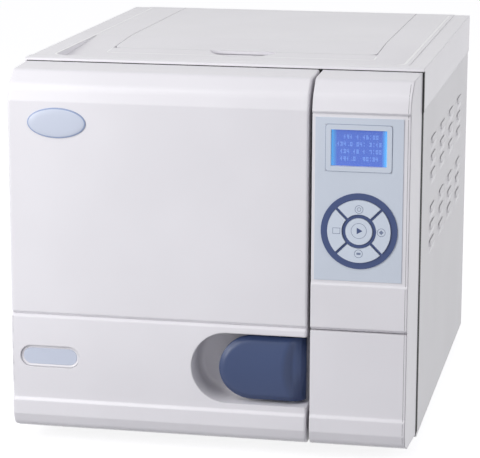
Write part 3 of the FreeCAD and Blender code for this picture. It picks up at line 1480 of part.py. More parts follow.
def make_keypad():
    """Raised keypad frame: outer and inner rings joined by four diagonal spokes."""
    body = new_body("keypad_frame", "keypad_centre", "label_face - label_sheet", "keypad_level")
    sketch = new_sketch(body, "XZ")
    add_circle(sketch, "0", "0", "keypad_radius")
    add_circle(sketch, "0", "0", "keypad_radius - keypad_ring")
    pad(body, sketch, "keypad_proud")
    inner = new_sketch(body, "XZ")
    half = "keypad_spoke / 2"
    reach = "keypad_radius - keypad_ring / 2"
    for sign in ("", "-"):
        # a spoke is a slim bar turned by 45 degrees, given by its four corners
        across = [("-({r}) - {h}", "-({r}) + {h}"), ("-({r}) + {h}", "-({r}) - {h}"),
                  ("({r}) + {h}", "({r}) - {h}"), ("({r}) - {h}", "({r}) + {h}")]
        places = {"r": reach + " * 0.70711", "h": half + " * 0.70711"}
        bar = [(sign + "(" + a.format(**places) + ")", b.format(**places)) for a, b in across]
        spoke = new_sketch(body, "XZ")
        add_outline(spoke, bar)
        pad(body, spoke, "keypad_proud")
    add_circle(inner, "0", "0", "keypad_inner_radius")
    pad(body, inner, "keypad_proud")
    hole = new_sketch(body, "XZ", "-keypad_proud - 1")
    add_circle(hole, "0", "0", "keypad_inner_radius - keypad_inner_ring")
    pocket(body, hole, "keypad_proud + 2")


def make_start_key():
    """Round start key in the middle of the keypad, with its stem to the board's switch."""
    body = new_body("key_start", "keypad_centre", "label_face - label_sheet", "keypad_level")
    plate = new_sketch(body, "XZ", "-key_travel * 0.1")
    add_circle(plate, "0", "0", "keypad_inner_radius - keypad_inner_ring - key_gap")
    pad(body, plate, "keypad_proud + key_proud")
    key_stem(body, "0", "0")


def key_stem(body, across, up):
    """Round stem from a key's plate back to just short of its switch."""
    stem = new_sketch(body, "XZ", "board_back + label_sheet - switch_height - key_travel - 0.1")
    add_circle(stem, across, up, "key_stem_radius")
    pad(body, stem, "board_back + label_sheet - switch_height - key_travel + 0.5")


def make_segment_keys():
    """Four keys between the rings, each a quarter of the annulus less its share of the spokes."""
    ring = "(keypad_inner_radius + keypad_radius - keypad_ring) / 2"
    turns = (("key_up", "0", ring), ("key_right", ring, "0"), ("key_down", "0", "-(%s)" % ring),
             ("key_left", "-(%s)" % ring, "0"))
    for quarter, (label, across, up) in enumerate(turns):
        body = new_body(label, "keypad_centre", "label_face - label_sheet", "keypad_level")
        plate = new_sketch(body, "XZ", "-key_travel * 0.1")
        add_quarter(plate, quarter)
        pad(body, plate, "keypad_proud + key_proud")
        key_stem(body, across, up)


def add_quarter(sketch, quarter):
    """Outline of a quarter key: two arcs, and two sides parallel to the spokes."""
    inner = "(keypad_inner_radius + key_gap)"
    outer = "(keypad_radius - keypad_ring - key_gap)"
    half = "(keypad_spoke / 2 + key_gap)"
    # along a 45 degree spoke, the side's ends lie where it meets each arc
    def side_end(radius):
        along = "sqrt({r} ^ 2 - {h} ^ 2)".format(r=radius, h=half)
        near = "((%s - %s) * 0.70711)" % (along, half)
        far = "((%s + %s) * 0.70711)" % (along, half)
        return near, far
    near_in, far_in = side_end(inner)
    near_out, far_out = side_end(outer)
    corners = [(near_out, far_out, outer), ("-" + near_out, far_out), ("-" + near_in, far_in, "-" + inner),
               (near_in, far_in)]
    for _ in range(quarter):
        corners = [(c[1], "-" + c[0]) + tuple(c[2:]) for c in corners]
    tidy = [tuple(text.replace("--", "") for text in corner[:2]) + tuple(corner[2:]) for corner in corners]
    add_outline(sketch, tidy)


def make_board():
    """Control board behind the keypad: the display, a switch for each key and the main components."""
    body = new_body("control_board")
    left, right = "column_left + 6", "column_front_right - 9"
    pad_box(body, left, right, "board_front", "board_front + board_sheet", "label_low + 6",
            "label_high - 6")
    half = "switch_size / 2"
    for across, up in key_centres():
        sketch = new_sketch(body, "XZ", "board_front")
        add_rectangle(sketch, across + " - " + half, across + " + " + half, up + " - " + half,
                      up + " + " + half)
        pad(body, sketch, "switch_height")
    rim = "window_frame / 2"
    pad_box(body, "window_left + " + rim, "window_left + window_width - " + rim,
            "label_face + front_wall + seat_gap", "board_front + 1", "window_low + " + rim,
            "window_low + window_height - " + rim)
    behind = "board_front + board_sheet"
    pad_box(body, left + " + 12", left + " + 42", behind, behind + " + 14", "label_low + 96",
            "label_low + 120")
    pad_box(body, left + " + 52", right + " - 8", behind, behind + " + 3", "label_low + 60",
            "label_low + 84")
    pad_box(body, left + " + 10", right + " - 14", behind, behind + " + 9", "label_low + 12",
            "label_low + 24")


# Water tank

def tank_level(back):
    """Level of the tank's top at a distance behind its front, where the cover above slopes."""
    return "tank_top - slope_drop * (slope_start - tank_front - (%s)) / (slope_length)" % back


def make_tank():
    """Open moulded tank under the filler opening: a sump beside the chamber, a lip, and a divider."""
    body = new_body("water_tank", "0", "tank_front", "0")
    half = "tank_half_width"
    wall = "tank_wall"

    def outline(inset, top):
        left = "-%s + (%s)" % (half, inset)
        right = "%s - (%s)" % (half, inset)
        step = "sump_left + (%s)" % inset
        floor = "tank_floor + (%s)" % inset
        sump = "tank_sump + (%s)" % inset
        return [(left, floor), (step, floor), (step, sump), (right, sump), (right, top), (left, top)]
    pad_front(body, lambda sketch: add_outline(sketch, outline("0", "tank_top")), "0", "tank_length")
    bend = "slope_start - tank_front"
    cut_side(body, [("-1", tank_level("-1")), (bend, "tank_top"), (bend, "tank_top + 9"),
                    ("-1", "tank_top + 9")], "-(%s + 1)" % half, half + " + 1")
    lip = [("0", tank_level("0") + " - " + wall), (bend, "tank_top - " + wall),
           ("tank_length", "tank_top - " + wall), ("tank_length", "tank_top"), (bend, "tank_top"),
           ("0", tank_level("0"))]
    pad_side(body, lip, "-(%s + tank_lip)" % half, half + " + tank_lip")
    cut_front(body, lambda sketch: add_outline(sketch, outline(wall, "tank_top + 9")), wall,
              "tank_length - " + wall)
    pad_box(body, "tank_divider_offset", "tank_divider_offset + " + wall, wall + " / 2",
            "tank_length - %s / 2" % wall, "tank_floor + %s / 2" % wall, "tank_floor + tank_divider_height")


def make_relief_valve():
    """Brass relief valve on top of the vessel, behind the jacket."""
    body = new_body("relief_valve", "chamber_offset", "relief_valve_back",
                    "chamber_level + vessel_radius + running_gap")
    radius = "relief_valve_radius"
    height = "relief_valve_height"
    turn_upright(body, [("0", "0"), (radius, "0"), (radius, "5"), (radius + " - 3", "5"),
                        (radius + " - 3", height + " - 14"), (radius + " - 1", height + " - 14"),
                        (radius + " - 1", height + " - 3"), (radius + " - 3", height), ("0", height)])


# Machines in the bay beside the chamber

def make_pump():
    """Vacuum pump: motor with cooling ribs, pump head in front, and a pair of feet on the pan."""
    body = new_body("vacuum_pump", "bay_line", "pump_middle", "pump_axis_level")
    front = "-pump_length / 2"
    back = "pump_length / 2"
    radius = "pump_radius"
    turn(body, [("0", front), (radius, front), (radius, back + " - 10"), (radius + " - 8", back),
                ("0", back)])
    rib = add_outline(new_sketch(body, "XY"), [(radius + " - 1", front + " + 12"),
                                               (radius + " + pump_rib", front + " + 12"),
                                               (radius + " + pump_rib", front + " + 15"),
                                               (radius + " - 1", front + " + 15")])
    ring = body.newObject("PartDesign::Revolution", "vacuum_pump_rib")
    ring.Profile = rib
    ring.ReferenceAxis = (rib, ["V_Axis"])
    ring.Angle = 360.0
    finish_feature(body, ring)
    repeat(body, [ring], "Y", "pump_rib_pitch", 6)
    head = "pump_head_width / 2"
    tall = "pump_head_height / 2"
    pad_box(body, "-" + head, head, front + " - pump_head_depth", front, "-" + tall, tall)
    for start in (front + " + 4", back + " - 26"):
        pad_box(body, "-%s * 0.8" % radius, radius + " * 0.8", start, start + " + 14",
                "pan_sheet - pump_axis_level", "-%s * 0.6" % radius)


def make_generator():
    """Steam generator: a domed upright boiler with a bolted flange, on three legs."""
    body = new_body("steam_generator", "bay_line", "generator_middle", "pan_sheet")
    low = "generator_leg"
    high = "generator_leg + generator_height"
    radius = "generator_radius"
    belt = high + " - 34"
    turn_upright(body, [("0", low), (radius + " - 10", low), (radius, low + " + 10"), (radius, belt),
                        (radius + " + 6", belt), (radius + " + 6", belt + " + 8"),
                        (radius, belt + " + 8"), (radius, high + " - 12"), (radius + " - 12", high),
                        ("7", high), ("7", high + " + 12"), ("0", high + " + 12")])
    for step in range(3):
        turn_text = "%d" % (90 + 120 * step)
        right = "(%s - 14) * cos(%s deg)" % (radius, turn_text)
        back = "(%s - 14) * sin(%s deg)" % (radius, turn_text)
        pad_disc(body, right, back, "0", low + " + 2", "5")


def make_valve_block():
    """Brass valve block on a bracket, with three solenoid coils."""
    body = new_body("valve_block", "bay_line", "valve_middle", "valve_block_level")
    half = "valve_block_length / 2"
    deep = "valve_block_depth / 2"
    high = "valve_block_height"
    pad_box(body, "-" + half, half, "-" + deep, deep, "0", high)
    for side in ("-" + half, half + " - 10"):
        pad_box(body, side, side + " + 10", "-" + deep, deep, "pan_sheet - valve_block_level", "0")
    coil = pad_disc(body, "-coil_pitch", "0", high, high + " + coil_height", "coil_radius")
    stem = pad_disc(body, "-coil_pitch", "0", high + " + coil_height", high + " + coil_height + 5", "4")
    repeat(body, [coil, stem], "X", "coil_pitch", 3)


def make_supply():
    """Power supply: a vented steel box on two rails that stand on the pan."""
    body = new_body("power_supply", "bay_line", "supply_front", "pan_sheet")
    half = "supply_width / 2"
    pad_box(body, "-" + half, half, "0", "supply_depth", "supply_rail", "supply_height")
    for side in ("-" + half, half + " - supply_rail"):
        pad_box(body, side, side + " + supply_rail", "0", "supply_depth", "0", "supply_rail")
    slot = new_sketch(body, "XZ", "-1")
    add_rectangle(slot, "-%s + 12" % half, "-%s + 15" % half, "10", "supply_height - 10")
    vent = pocket(body, slot, "4")
    repeat(body, [vent], "X", "8", 9)


def make_filter():
    """Round air filter on its foot behind the service panel, with a hose stub on top."""
    body = new_body("air_filter", "bay_line", "filter_middle", "pan_sheet")
    radius = "filter_radius"
    low = "filter_level"
    high = "filter_level + filter_height"
    turn_upright(body, [("0", "0"), (radius + " * 0.6", "0"), (radius + " * 0.6", "3"), ("6", "3"),
                        ("6", low), (radius + " - 5", low), (radius, low + " + 5"),
                        (radius, high + " - 5"), (radius + " - 5", high), ("5", high),
                        ("5", high + " + 12"), ("0", high + " + 12")])


# Heat rejection and rear fittings

def make_condenser():
    """Condenser: flat tubes through fins, on two end plates that stand on the pan."""
    body = new_body("condenser", "chamber_offset", "condenser_front", "condenser_level")
    half = "condenser_width / 2"
    deep = "condenser_depth"
    high = "condenser_height"
    foot = "pan_sheet - condenser_level"
    for left in ("-" + half, half + " - condenser_plate"):
        pad_box(body, left, left + " + condenser_plate", "0", deep, foot, high)
    tubes = new_sketch(body, "YZ", "-" + half)
    for share in range(1, 5):
        level = "%s * %d / 5" % (high, share)
        add_rectangle(tubes, "5", deep + " - 5", level, level + " + tube_height")
    pad(body, tubes, "condenser_width")
    fin = pad_box(body, "fin_pitch - " + half, "fin_pitch + fin_sheet - " + half, "2", deep + " - 2",
                  "0", high)
    repeat(body, [fin], "X", "fin_pitch", 14)


def make_fan():
    """Axial fan: square frame with a bore, struts and shaft, and the bladed rotor that turns on it."""
    frame = new_body("fan_frame", "chamber_offset", "back_plane - fan_depth - seat_gap / 2", "fan_level")
    half = "fan_size / 2"

    def square(sketch):
        add_rectangle(sketch, "-" + half, half, "-" + half, half)
    pad_front(frame, square, "0", "fan_depth")
    corners = [(a + half, b + half) for a in ("-", "") for b in ("-", "")]
    round_edges(frame, "y", corners, "fan_corner_round")
    cut_front(frame, lambda sketch: add_circle(sketch, "0", "0", "fan_bore_radius"), "-1", "fan_depth + 1")
    strut_front = "fan_depth - fan_strut"
    reach = "fan_bore_radius + 1"
    pad_box(frame, "-" + reach, reach, strut_front, "fan_depth", "-fan_strut / 2", "fan_strut / 2")
    pad_box(frame, "-fan_strut / 2", "fan_strut / 2", strut_front, "fan_depth", "-(%s)" % reach, reach)
    pad_front(frame, lambda sketch: add_circle(sketch, "0", "0", "fan_hub_radius"), strut_front, "fan_depth")
    pad_front(frame, lambda sketch: add_circle(sketch, "0", "0", "fan_shaft_radius"), "5", strut_front)
    make_rotor()


def make_rotor():
    """Fan rotor: a hub and seven lofted blades, steeper at the root than at the tip."""
    body = new_body("fan_rotor", "chamber_offset", "back_plane - fan_depth - seat_gap / 2", "fan_level")
    back = "fan_depth - fan_strut - fan_blade_gap"
    turn(body, [("0", "2"), ("fan_hub_radius - 3", "2"), ("fan_hub_radius", "5"), ("fan_hub_radius", back),
                ("fan_shaft_radius + running_gap", back), ("fan_shaft_radius + running_gap", "4.5"),
                ("0", "4.5")])
    root = blade_section(body, "fan_hub_radius - 2", "fan_root_half", "3", back)
    tip = blade_section(body, "fan_tip_radius", "fan_tip_half", "6", back + " - 3")
    blade = body.newObject("PartDesign::AdditiveLoft", "fan_rotor_blade")
    blade.Profile = root
    blade.Sections = [tip]
    finish_feature(body, blade)
    ring = body.newObject("PartDesign::PolarPattern", "fan_rotor_blades")
    ring.Originals = [blade]
    axes = {item.Role: item for item in body.Origin.OriginFeatures}
    ring.Axis = (axes["Y_Axis"], [""])
    ring.Angle = 360.0
    ring.Occurrences = 7
    finish_feature(body, ring)


def blade_section(body, radius, half, front, back):
    """Slanted section of a blade at one radius, as a thin parallelogram between two Y places."""
    sketch = new_sketch(body, "XY", radius)
    thick = "fan_blade_sheet"
    return add_outline(sketch, [("-" + half, front), ("-%s + %s" % (half, thick), front), (half, back),
                                ("%s - %s" % (half, thick), back)])


def make_inlet():
    """Mains inlet with the switch housing above it, on one plate that closes both rear openings."""
    body = new_body("power_inlet", "inlet_offset", "back_plane + pan_sheet", "inlet_level")
    wide = "inlet_width / 2"
    tall = "inlet_height / 2"
    top = "rocker_rise + rocker_height / 2 + 9"
    gap = "seat_gap / 3"
    pad_box(body, "-(%s + 8)" % wide, wide + " + 8", gap, "inlet_plate", "-(%s + 7)" % tall, top)
    pad_box(body, "-" + wide, wide, "-inlet_depth", "inlet_plate", "-" + tall, tall)
    side = "rocker_width / 2 + 2.5"
    end = "rocker_height / 2 + 2.5"
    pad_box(body, "-(%s)" % side, side, "-inlet_depth", "inlet_plate", "rocker_rise - (%s)" % end,
            "rocker_rise + " + end)
    # socket with its three blades
    mouth = wide + " - 2.5"
    cut_box(body, "-(%s)" % mouth, mouth, "-inlet_depth + 5", "inlet_plate + 1", "-%s + 3.5" % tall,
            tall + " - 3.5")
    for across, up in (("-7", "-2"), ("7", "-2"), ("0", "2.5")):
        pad_box(body, across + " - 1", across + " + 1", "-inlet_depth + 4", "-2", up + " - 2", up + " + 2")
    # well and axle bores for the rocker
    inner = "rocker_width / 2 + rocker_gap"
    rise = "rocker_height / 2 + rocker_gap"
    cut_box(body, "-(%s)" % inner, inner, "-rocker_depth - 2", "inlet_plate + 1",
            "rocker_rise - (%s)" % rise, "rocker_rise + " + rise)
    bore = new_sketch(body, "YZ", "-(rocker_width / 2 + 2)")
    add_circle(bore, "rocker_axis", "rocker_rise", "rocker_axle_radius + running_gap")
    pocket(body, bore, "rocker_width + 4", forwards=True)


def make_rocker():
    """Power rocker, tilted to its off side, with an axle that snaps into the housing."""
    body = new_body("power_rocker", "inlet_offset", "back_plane + pan_sheet + rocker_axis",
                    "inlet_level + rocker_rise")
    body.Placement.Rotation = FreeCAD.Rotation(Vector(1, 0, 0), 1)
    bind(body, "Placement.Rotation.Angle", "rocker_tilt")
    half = "rocker_width / 2"
    tall = "rocker_height / 2"
    face = "rocker_depth / 2"
    pad_side(body, [("-" + face, "-%s + 2" % tall), (face, "-" + tall), (face + " - 1.5", "0"),
                    (face, tall), ("-" + face, "%s - 2" % tall)], "-" + half, half)
    axle = add_circle(new_sketch(body, "YZ", "-(%s + 2)" % half), "0", "0", "rocker_axle_radius")
    pad(body, axle, "rocker_width + 4")


def make_drain_fitting():
    """Drain block behind the rear panel, with two bored hose nozzles through it."""
    body = new_body("drain_fitting", "nozzle_offset", "back_plane", "nozzle_level")
    pad_box(body, "-12", "12", "-26", "-seat_gap / 3", "-14", "nozzle_pitch + 14")
    radius = "nozzle_radius"
    turned = turn(body, [("0", "-4"), (radius, "-4"), (radius, "pan_sheet + 2"),
                         (radius + " - 1.5", "pan_sheet + 2"), (radius + " - 1.5", "nozzle_reach - 4"),
                         (radius, "nozzle_reach - 4"), (radius + " - 2", "nozzle_reach"),
                         ("0", "nozzle_reach")])
    bore = add_circle(new_sketch(body, "XZ", "-16"), "0", "0", radius + " / 2 - 0.5")
    hole = pocket(body, bore, "nozzle_reach + 20")
    repeat(body, [turned, hole], "Z", "nozzle_pitch", 2)


# Build and write

def make_all():
    """Make every sub-part, from the casing inwards."""
    make_base_pan()
    make_feet()
    make_front_bulkhead()
    make_side_panel("left_side_panel", -1)
    make_side_panel("right_side_panel", 1)
    make_back_panel()
    make_top_cover()
    make_tank_lid()
    make_lid_pins()
    make_door_cover()
    make_inner_cover()
    make_door_frame()
    make_hinges()
    make_pressure_lid()
    make_gasket()
    make_badges()
    make_handle()
    make_handle_shaft()
    make_latch_hook()
    make_keeper()
    make_chamber()
    make_heater()
    make_jacket()
    make_saddles()
    make_rack()
    make_trays()
    make_column_bezel()
    make_service_panel()
    make_overlay()
    make_window()
    make_keypad()
    make_start_key()
    make_segment_keys()
    make_board()
    make_tank()
    make_relief_valve()
    make_pump()
    make_generator()
    make_valve_block()
    make_supply()
    make_filter()
    make_condenser()
    make_fan()
    make_inlet()
    make_rocker()
    make_drain_fitting()


def check_all():
    """Stop before anything is written if a feature failed or a sub-part has no sound solid."""
    for item in DOC.Objects:
        if "Invalid" in item.State or "Error" in item.State:
            raise RuntimeError("the feature %s failed" % item.Label)
    for part in PARTS:
        if part.Shape.isNull() or not part.Shape.isValid() or not part.Shape.Solids:
            raise RuntimeError("the sub-part %s has no sound solid" % part.Label)


def main():
    """Fill the sheet, build, check, and write one file per sub-part."""
    fill_sheet()
    make_all()
    DOC.recompute()
    check_all()
    os.makedirs("parts", exist_ok=True)
    for part in PARTS:
        part.Shape.exportStep("parts/%s.step" % part.Label)
    print("%d sub-parts written" % len(PARTS))


main()
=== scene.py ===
"""Looks for the benchtop autoclave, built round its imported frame. Metres, in the frame's own axes."""

import math

import bmesh
import bpy
from mathutils import Matrix, Vector
from mathutils.bvhtree import BVHTree
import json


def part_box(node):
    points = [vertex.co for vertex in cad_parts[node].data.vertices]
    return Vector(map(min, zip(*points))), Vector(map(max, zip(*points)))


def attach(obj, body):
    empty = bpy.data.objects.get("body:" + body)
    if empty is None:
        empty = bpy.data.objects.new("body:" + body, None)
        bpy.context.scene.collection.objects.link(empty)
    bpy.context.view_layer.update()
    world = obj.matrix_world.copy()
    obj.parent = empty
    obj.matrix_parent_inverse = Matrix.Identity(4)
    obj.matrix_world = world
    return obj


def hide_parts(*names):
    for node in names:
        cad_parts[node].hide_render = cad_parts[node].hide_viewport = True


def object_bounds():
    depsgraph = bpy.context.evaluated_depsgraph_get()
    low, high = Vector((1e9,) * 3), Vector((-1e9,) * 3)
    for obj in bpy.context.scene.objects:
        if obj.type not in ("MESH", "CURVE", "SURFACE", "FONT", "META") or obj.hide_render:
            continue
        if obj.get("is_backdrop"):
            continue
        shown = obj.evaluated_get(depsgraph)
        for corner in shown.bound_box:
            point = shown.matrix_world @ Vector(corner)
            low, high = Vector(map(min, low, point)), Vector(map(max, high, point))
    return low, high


MM = 0.001

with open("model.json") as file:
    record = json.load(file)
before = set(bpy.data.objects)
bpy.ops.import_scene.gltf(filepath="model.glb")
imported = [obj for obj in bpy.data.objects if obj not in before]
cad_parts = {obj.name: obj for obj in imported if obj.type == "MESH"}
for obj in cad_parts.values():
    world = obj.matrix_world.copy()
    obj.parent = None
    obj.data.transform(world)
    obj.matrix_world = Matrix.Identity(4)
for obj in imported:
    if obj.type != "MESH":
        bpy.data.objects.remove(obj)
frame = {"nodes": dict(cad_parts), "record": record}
CAD_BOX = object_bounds()
NODES = frame["nodes"]


# Colours are written as they should look, in 0 to 255
BODY_WHITE = (236, 234, 238)
SIDE_WHITE = (228, 227, 229)
LABEL_PALE = (211, 219, 231)
RING_BLUE = (62, 78, 122)
KEY_PALE = (214, 223, 236)
HANDLE_BLUE = (50, 68, 109)
PRINT_BLUE = (120, 132, 160)
LINE_GREY = (150, 148, 150)
# White of the strips that paint highlights along the cover's edges
PAINTED_HIGHLIGHT_WHITE = (255, 255, 255)
SCREEN_BLUE = (38, 82, 176)
SCREEN_RIM = (60, 160, 226)
PIXEL_PALE = (96, 138, 206)
BADGE_PALE = (204, 211, 227)
BADGE_EDGE = (150, 166, 200)

SCREEN_GLOW = 0.6
# How far print stands proud of the surface under it
PRINT_LIFT = 0.06 * MM


def linear(colour):
    """Turn a display colour into the linear one that shaders take."""
    parts = []
    for level in colour:
        share = level / 255.0
        parts.append(share / 12.92 if share <= 0.04045 else ((share + 0.055) / 1.055) ** 2.4)
    return (*parts, 1.0)


# Materials

def new_material(name, colour, roughness, metallic=0.0, coat=0.0):
    """Start a node material and return it with its node tree and shader."""
    material = bpy.data.materials.new(name)
    material.use_nodes = True
    tree = material.node_tree
    shader = tree.nodes["Principled BSDF"]
    shader.inputs["Base Color"].default_value = linear(colour)
    shader.inputs["Roughness"].default_value = roughness
    shader.inputs["Metallic"].default_value = metallic
    shader.inputs["Coat Weight"].default_value = coat
    shader.inputs["Coat Roughness"].default_value = 0.12
    return material, tree, shader


def add_node(tree, kind, **settings):
    """Add a node and set its properties and inputs."""
    node = tree.nodes.new(kind)
    for key, setting in settings.items():
        if key in node.inputs:
            node.inputs[key].default_value = setting
        else:
            setattr(node, key, setting)
    return node


def object_noise(tree, scale, detail=3.0, stretch=(1.0, 1.0, 1.0)):
    """Noise over object coordinates, stretched where a grain asks for it."""
    place = add_node(tree, "ShaderNodeTexCoord")
    mapping = add_node(tree, "ShaderNodeMapping")
    mapping.inputs["Scale"].default_value = stretch
    noise = add_node(tree, "ShaderNodeTexNoise")
    noise.inputs["Scale"].default_value = scale
    noise.inputs["Detail"].default_value = detail
    tree.links.new(place.outputs["Object"], mapping.inputs["Vector"])
    tree.links.new(mapping.outputs["Vector"], noise.inputs["Vector"])
    return noise


def ramp_between(tree, source, low, high, start=0.35, end=0.65):
    """Colour ramp from one display colour to another, driven by a value."""
    ramp = add_node(tree, "ShaderNodeValToRGB")
    ramp.color_ramp.elements[0].position = start
    ramp.color_ramp.elements[0].color = linear(low)
    ramp.color_ramp.elements[1].position = end
    ramp.color_ramp.elements[1].color = linear(high)
    tree.links.new(source, ramp.inputs["Fac"])
    return ramp


def shade(colour, by):
    """A display colour, lighter or darker by some levels."""
    return tuple(max(0, min(255, level + by)) for level in colour)


def add_bump(tree, shader, source, distance, strength, bevel=0.0):
    """Bump a shader's normal from a value, over soft edges where bevel is set."""
    bump = add_node(tree, "ShaderNodeBump")
    bump.inputs["Strength"].default_value = strength
    bump.inputs["Distance"].default_value = distance
    tree.links.new(source, bump.inputs["Height"])
    if bevel:
        soft = add_node(tree, "ShaderNodeBevel")
        soft.inputs["Radius"].default_value = bevel
        tree.links.new(soft.outputs["Normal"], bump.inputs["Normal"])
    tree.links.new(bump.outputs["Normal"], shader.inputs["Normal"])


def moulded(name, colour, roughness=0.36, grain=900.0, depth=0.00002, coat=0.0, bevel=0.0008):
    """Moulded plastic or powder coat: faint tone changes, fine grain and soft edges."""
    material, tree, shader = new_material(name, colour, roughness, coat=coat)
    tone = object_noise(tree, 7.0, 2.0)
    ramp = ramp_between(tree, tone.outputs["Fac"], shade(colour, -2), shade(colour, 2))
    tree.links.new(ramp.outputs["Color"], shader.inputs["Base Color"])
    fine = object_noise(tree, grain, 2.0)
    add_bump(tree, shader, fine.outputs["Fac"], depth, 0.35, bevel)
    return material


def metal(name, colour, roughness, stretch):
    """Brushed or turned metal whose grain is stretched along its pull."""
    material, tree, shader = new_material(name, colour, roughness, metallic=1.0)
    grain = object_noise(tree, 300.0, 4.0, stretch)
    ramp = ramp_between(tree, grain.outputs["Fac"], shade(colour, -9), shade(colour, 6))
    tree.links.new(ramp.outputs["Color"], shader.inputs["Base Color"])
    rough = add_node(tree, "ShaderNodeMapRange")
    rough.inputs["To Min"].default_value = roughness - 0.07
    rough.inputs["To Max"].default_value = roughness + 0.09
    tree.links.new(grain.outputs["Fac"], rough.inputs["Value"])
    tree.links.new(rough.outputs["Result"], shader.inputs["Roughness"])
    add_bump(tree, shader, grain.outputs["Fac"], 0.00003, 0.3, bevel=0.0004)
    return material


def woven(name, colour):
    """Glass cloth: two crossed wave bands as weave."""
    material, tree, shader = new_material(name, colour, 0.85)
    place = add_node(tree, "ShaderNodeTexCoord")
    total = add_node(tree, "ShaderNodeMath", operation="ADD")
    for index, direction in enumerate(("X", "Z")):
        wave = add_node(tree, "ShaderNodeTexWave", bands_direction=direction)
        wave.inputs["Scale"].default_value = 160.0
        tree.links.new(place.outputs["Object"], wave.inputs["Vector"])
        tree.links.new(wave.outputs["Fac"], total.inputs[index])
    ramp = ramp_between(tree, total.outputs["Value"], shade(colour, -16), colour, 0.2, 1.0)
    tree.links.new(ramp.outputs["Color"], shader.inputs["Base Color"])
    add_bump(tree, shader, total.outputs["Value"], 0.0003, 0.6)
    return material


def backlit(name, colour, rim):
    """Backlit screen with lighter bands at its left and right ends."""
    material, tree, shader = new_material(name, colour, 0.4)
    low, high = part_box("window_lens")
    scale = 1.0 / (high.x - low.x)
    place = add_node(tree, "ShaderNodeTexCoord")
    mapping = add_node(tree, "ShaderNodeMapping")
    mapping.inputs["Location"].default_value = (-low.x * scale, 0.0, 0.0)
    mapping.inputs["Scale"].default_value = (scale, 1.0, 1.0)
    blend = add_node(tree, "ShaderNodeTexGradient")
    tree.links.new(place.outputs["Object"], mapping.inputs["Vector"])
    tree.links.new(mapping.outputs["Vector"], blend.inputs["Vector"])
    ramp = ramp_between(tree, blend.outputs["Fac"], rim, rim, 0.02, 0.98)
    for position in (0.1, 0.9):
        ramp.color_ramp.elements.new(position).color = linear(colour)
    tree.links.new(ramp.outputs["Color"], shader.inputs["Base Color"])
    tree.links.new(ramp.outputs["Color"], shader.inputs["Emission Color"])
    shader.inputs["Emission Strength"].default_value = SCREEN_GLOW
    return material


def clear_lens(name):
    """Thin clear window over the screen."""
    material, tree, shader = new_material(name, (235, 240, 250), 0.06)
    shader.inputs["Alpha"].default_value = 0.07
    noise = object_noise(tree, 60.0)
    add_bump(tree, shader, noise.outputs["Fac"], 0.00001, 0.1)
    return material


def make_materials():
    """All finishes, by the record's material slots, with the scene's own ones."""
    return {
        "housing_white": moulded("housing", BODY_WHITE, 0.34, coat=0.15, bevel=0.0022),
        "side_enamel": moulded("enamel", SIDE_WHITE, 0.42, 420.0, 0.00005),
        "steel_sheet": metal("zinc_sheet", (168, 170, 174), 0.42, (1, 1, 8)),
        "rubber_black": moulded("rubber", (24, 24, 25), 0.8, 600.0, 0.00008),
        "steel_bright": metal("turned_steel", (190, 190, 194), 0.22, (1, 1, 30)),
        "stainless": metal("stainless", (196, 196, 199), 0.26, (1, 14, 1)),
        "tray_aluminium": metal("anodised", (205, 206, 209), 0.4, (1, 10, 1)),
        "heater_grey": metal("heater_band", (150, 146, 144), 0.38, (1, 20, 1)),
        "jacket_white": woven("glass_cloth", (220, 216, 205)),
        "silicone": moulded("silicone", (196, 196, 190), 0.55, 500.0),
        "badge_grey": moulded("badge_plate", BADGE_PALE, 0.34, coat=0.1),
        "handle_blue": moulded("handle_blue", HANDLE_BLUE, 0.38, 700.0, coat=0.1, bevel=0.002),
        "overlay_blue": moulded("label_film", LABEL_PALE, 0.42, 1200.0, 0.00001, bevel=0.0003),
        "frame_blue": moulded("frame_blue", RING_BLUE, 0.42, 900.0, 0.00001, bevel=0.0003),
        "lens_clear": clear_lens("lens"),
        "key_pale": moulded("key_film", KEY_PALE, 0.42, 1200.0, 0.00001, bevel=0.0003),
        "board_green": moulded("board", (30, 84, 48), 0.4, 300.0),
        "tank_plastic": moulded("tank", (226, 226, 220), 0.45),
        "brass": metal("brass", (190, 152, 88), 0.3, (1, 1, 16)),
        "pump_grey": moulded("pump_paint", (84, 87, 92), 0.5, 260.0, 0.00012),
        "plastic_black": moulded("black_plastic", (26, 26, 28), 0.45, 600.0, 0.00006),
        "screen": backlit("screen", SCREEN_BLUE, SCREEN_RIM),
        "pixel": backlit("pixel", PIXEL_PALE, PIXEL_PALE),
        "print": moulded("print_blue", RING_BLUE, 0.5),
        "print_soft": moulded("print_soft", PRINT_BLUE, 0.5),
        "line_grey": moulded("line_grey", LINE_GREY, 0.6),
        # Lighter copy of the side enamel for the louvre ramps: painted highlight
        "side_painted_highlight": moulded("enamel_painted_highlight", shade(SIDE_WHITE, 24), 0.4, 420.0, 0.00005),
        # Plain white for the strips that paint highlights along the cover's edges
        "painted_highlight": moulded("painted_highlight", PAINTED_HIGHLIGHT_WHITE, 0.3, 420.0),
        "badge_edge": moulded("badge_edge", BADGE_EDGE, 0.3, coat=0.3),
    }


MATERIALS = make_materials()


# Nodes that look different from the rest of their slot
LOOKS = {"window_frame": "overlay_blue"}


def dress_nodes():
    """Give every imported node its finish."""
    for entry in frame["record"]["subparts"]:
        node = NODES[entry["node"]]
        finish = MATERIALS[LOOKS.get(entry["node"], entry["material_slot"])]
        if not node.material_slots:
            node.data.materials.append(finish)
        for slot in node.material_slots:
            slot.material = finish


# Pieces

def add_mesh(name, build, finish, body, smooth=True):
    """Make a piece from a bmesh builder, give it its finish and body, and return it."""
    mesh = bpy.data.meshes.new(name)
    shape = bmesh.new()
    build(shape)
    bmesh.ops.recalc_face_normals(shape, faces=shape.faces[:])
    shape.to_mesh(mesh)
    shape.free()
    if smooth:
        mesh.shade_smooth()
    piece = bpy.data.objects.new(name, mesh)
    bpy.context.scene.collection.objects.link(piece)
    mesh.materials.append(MATERIALS[finish])
    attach(piece, body)
    return piece


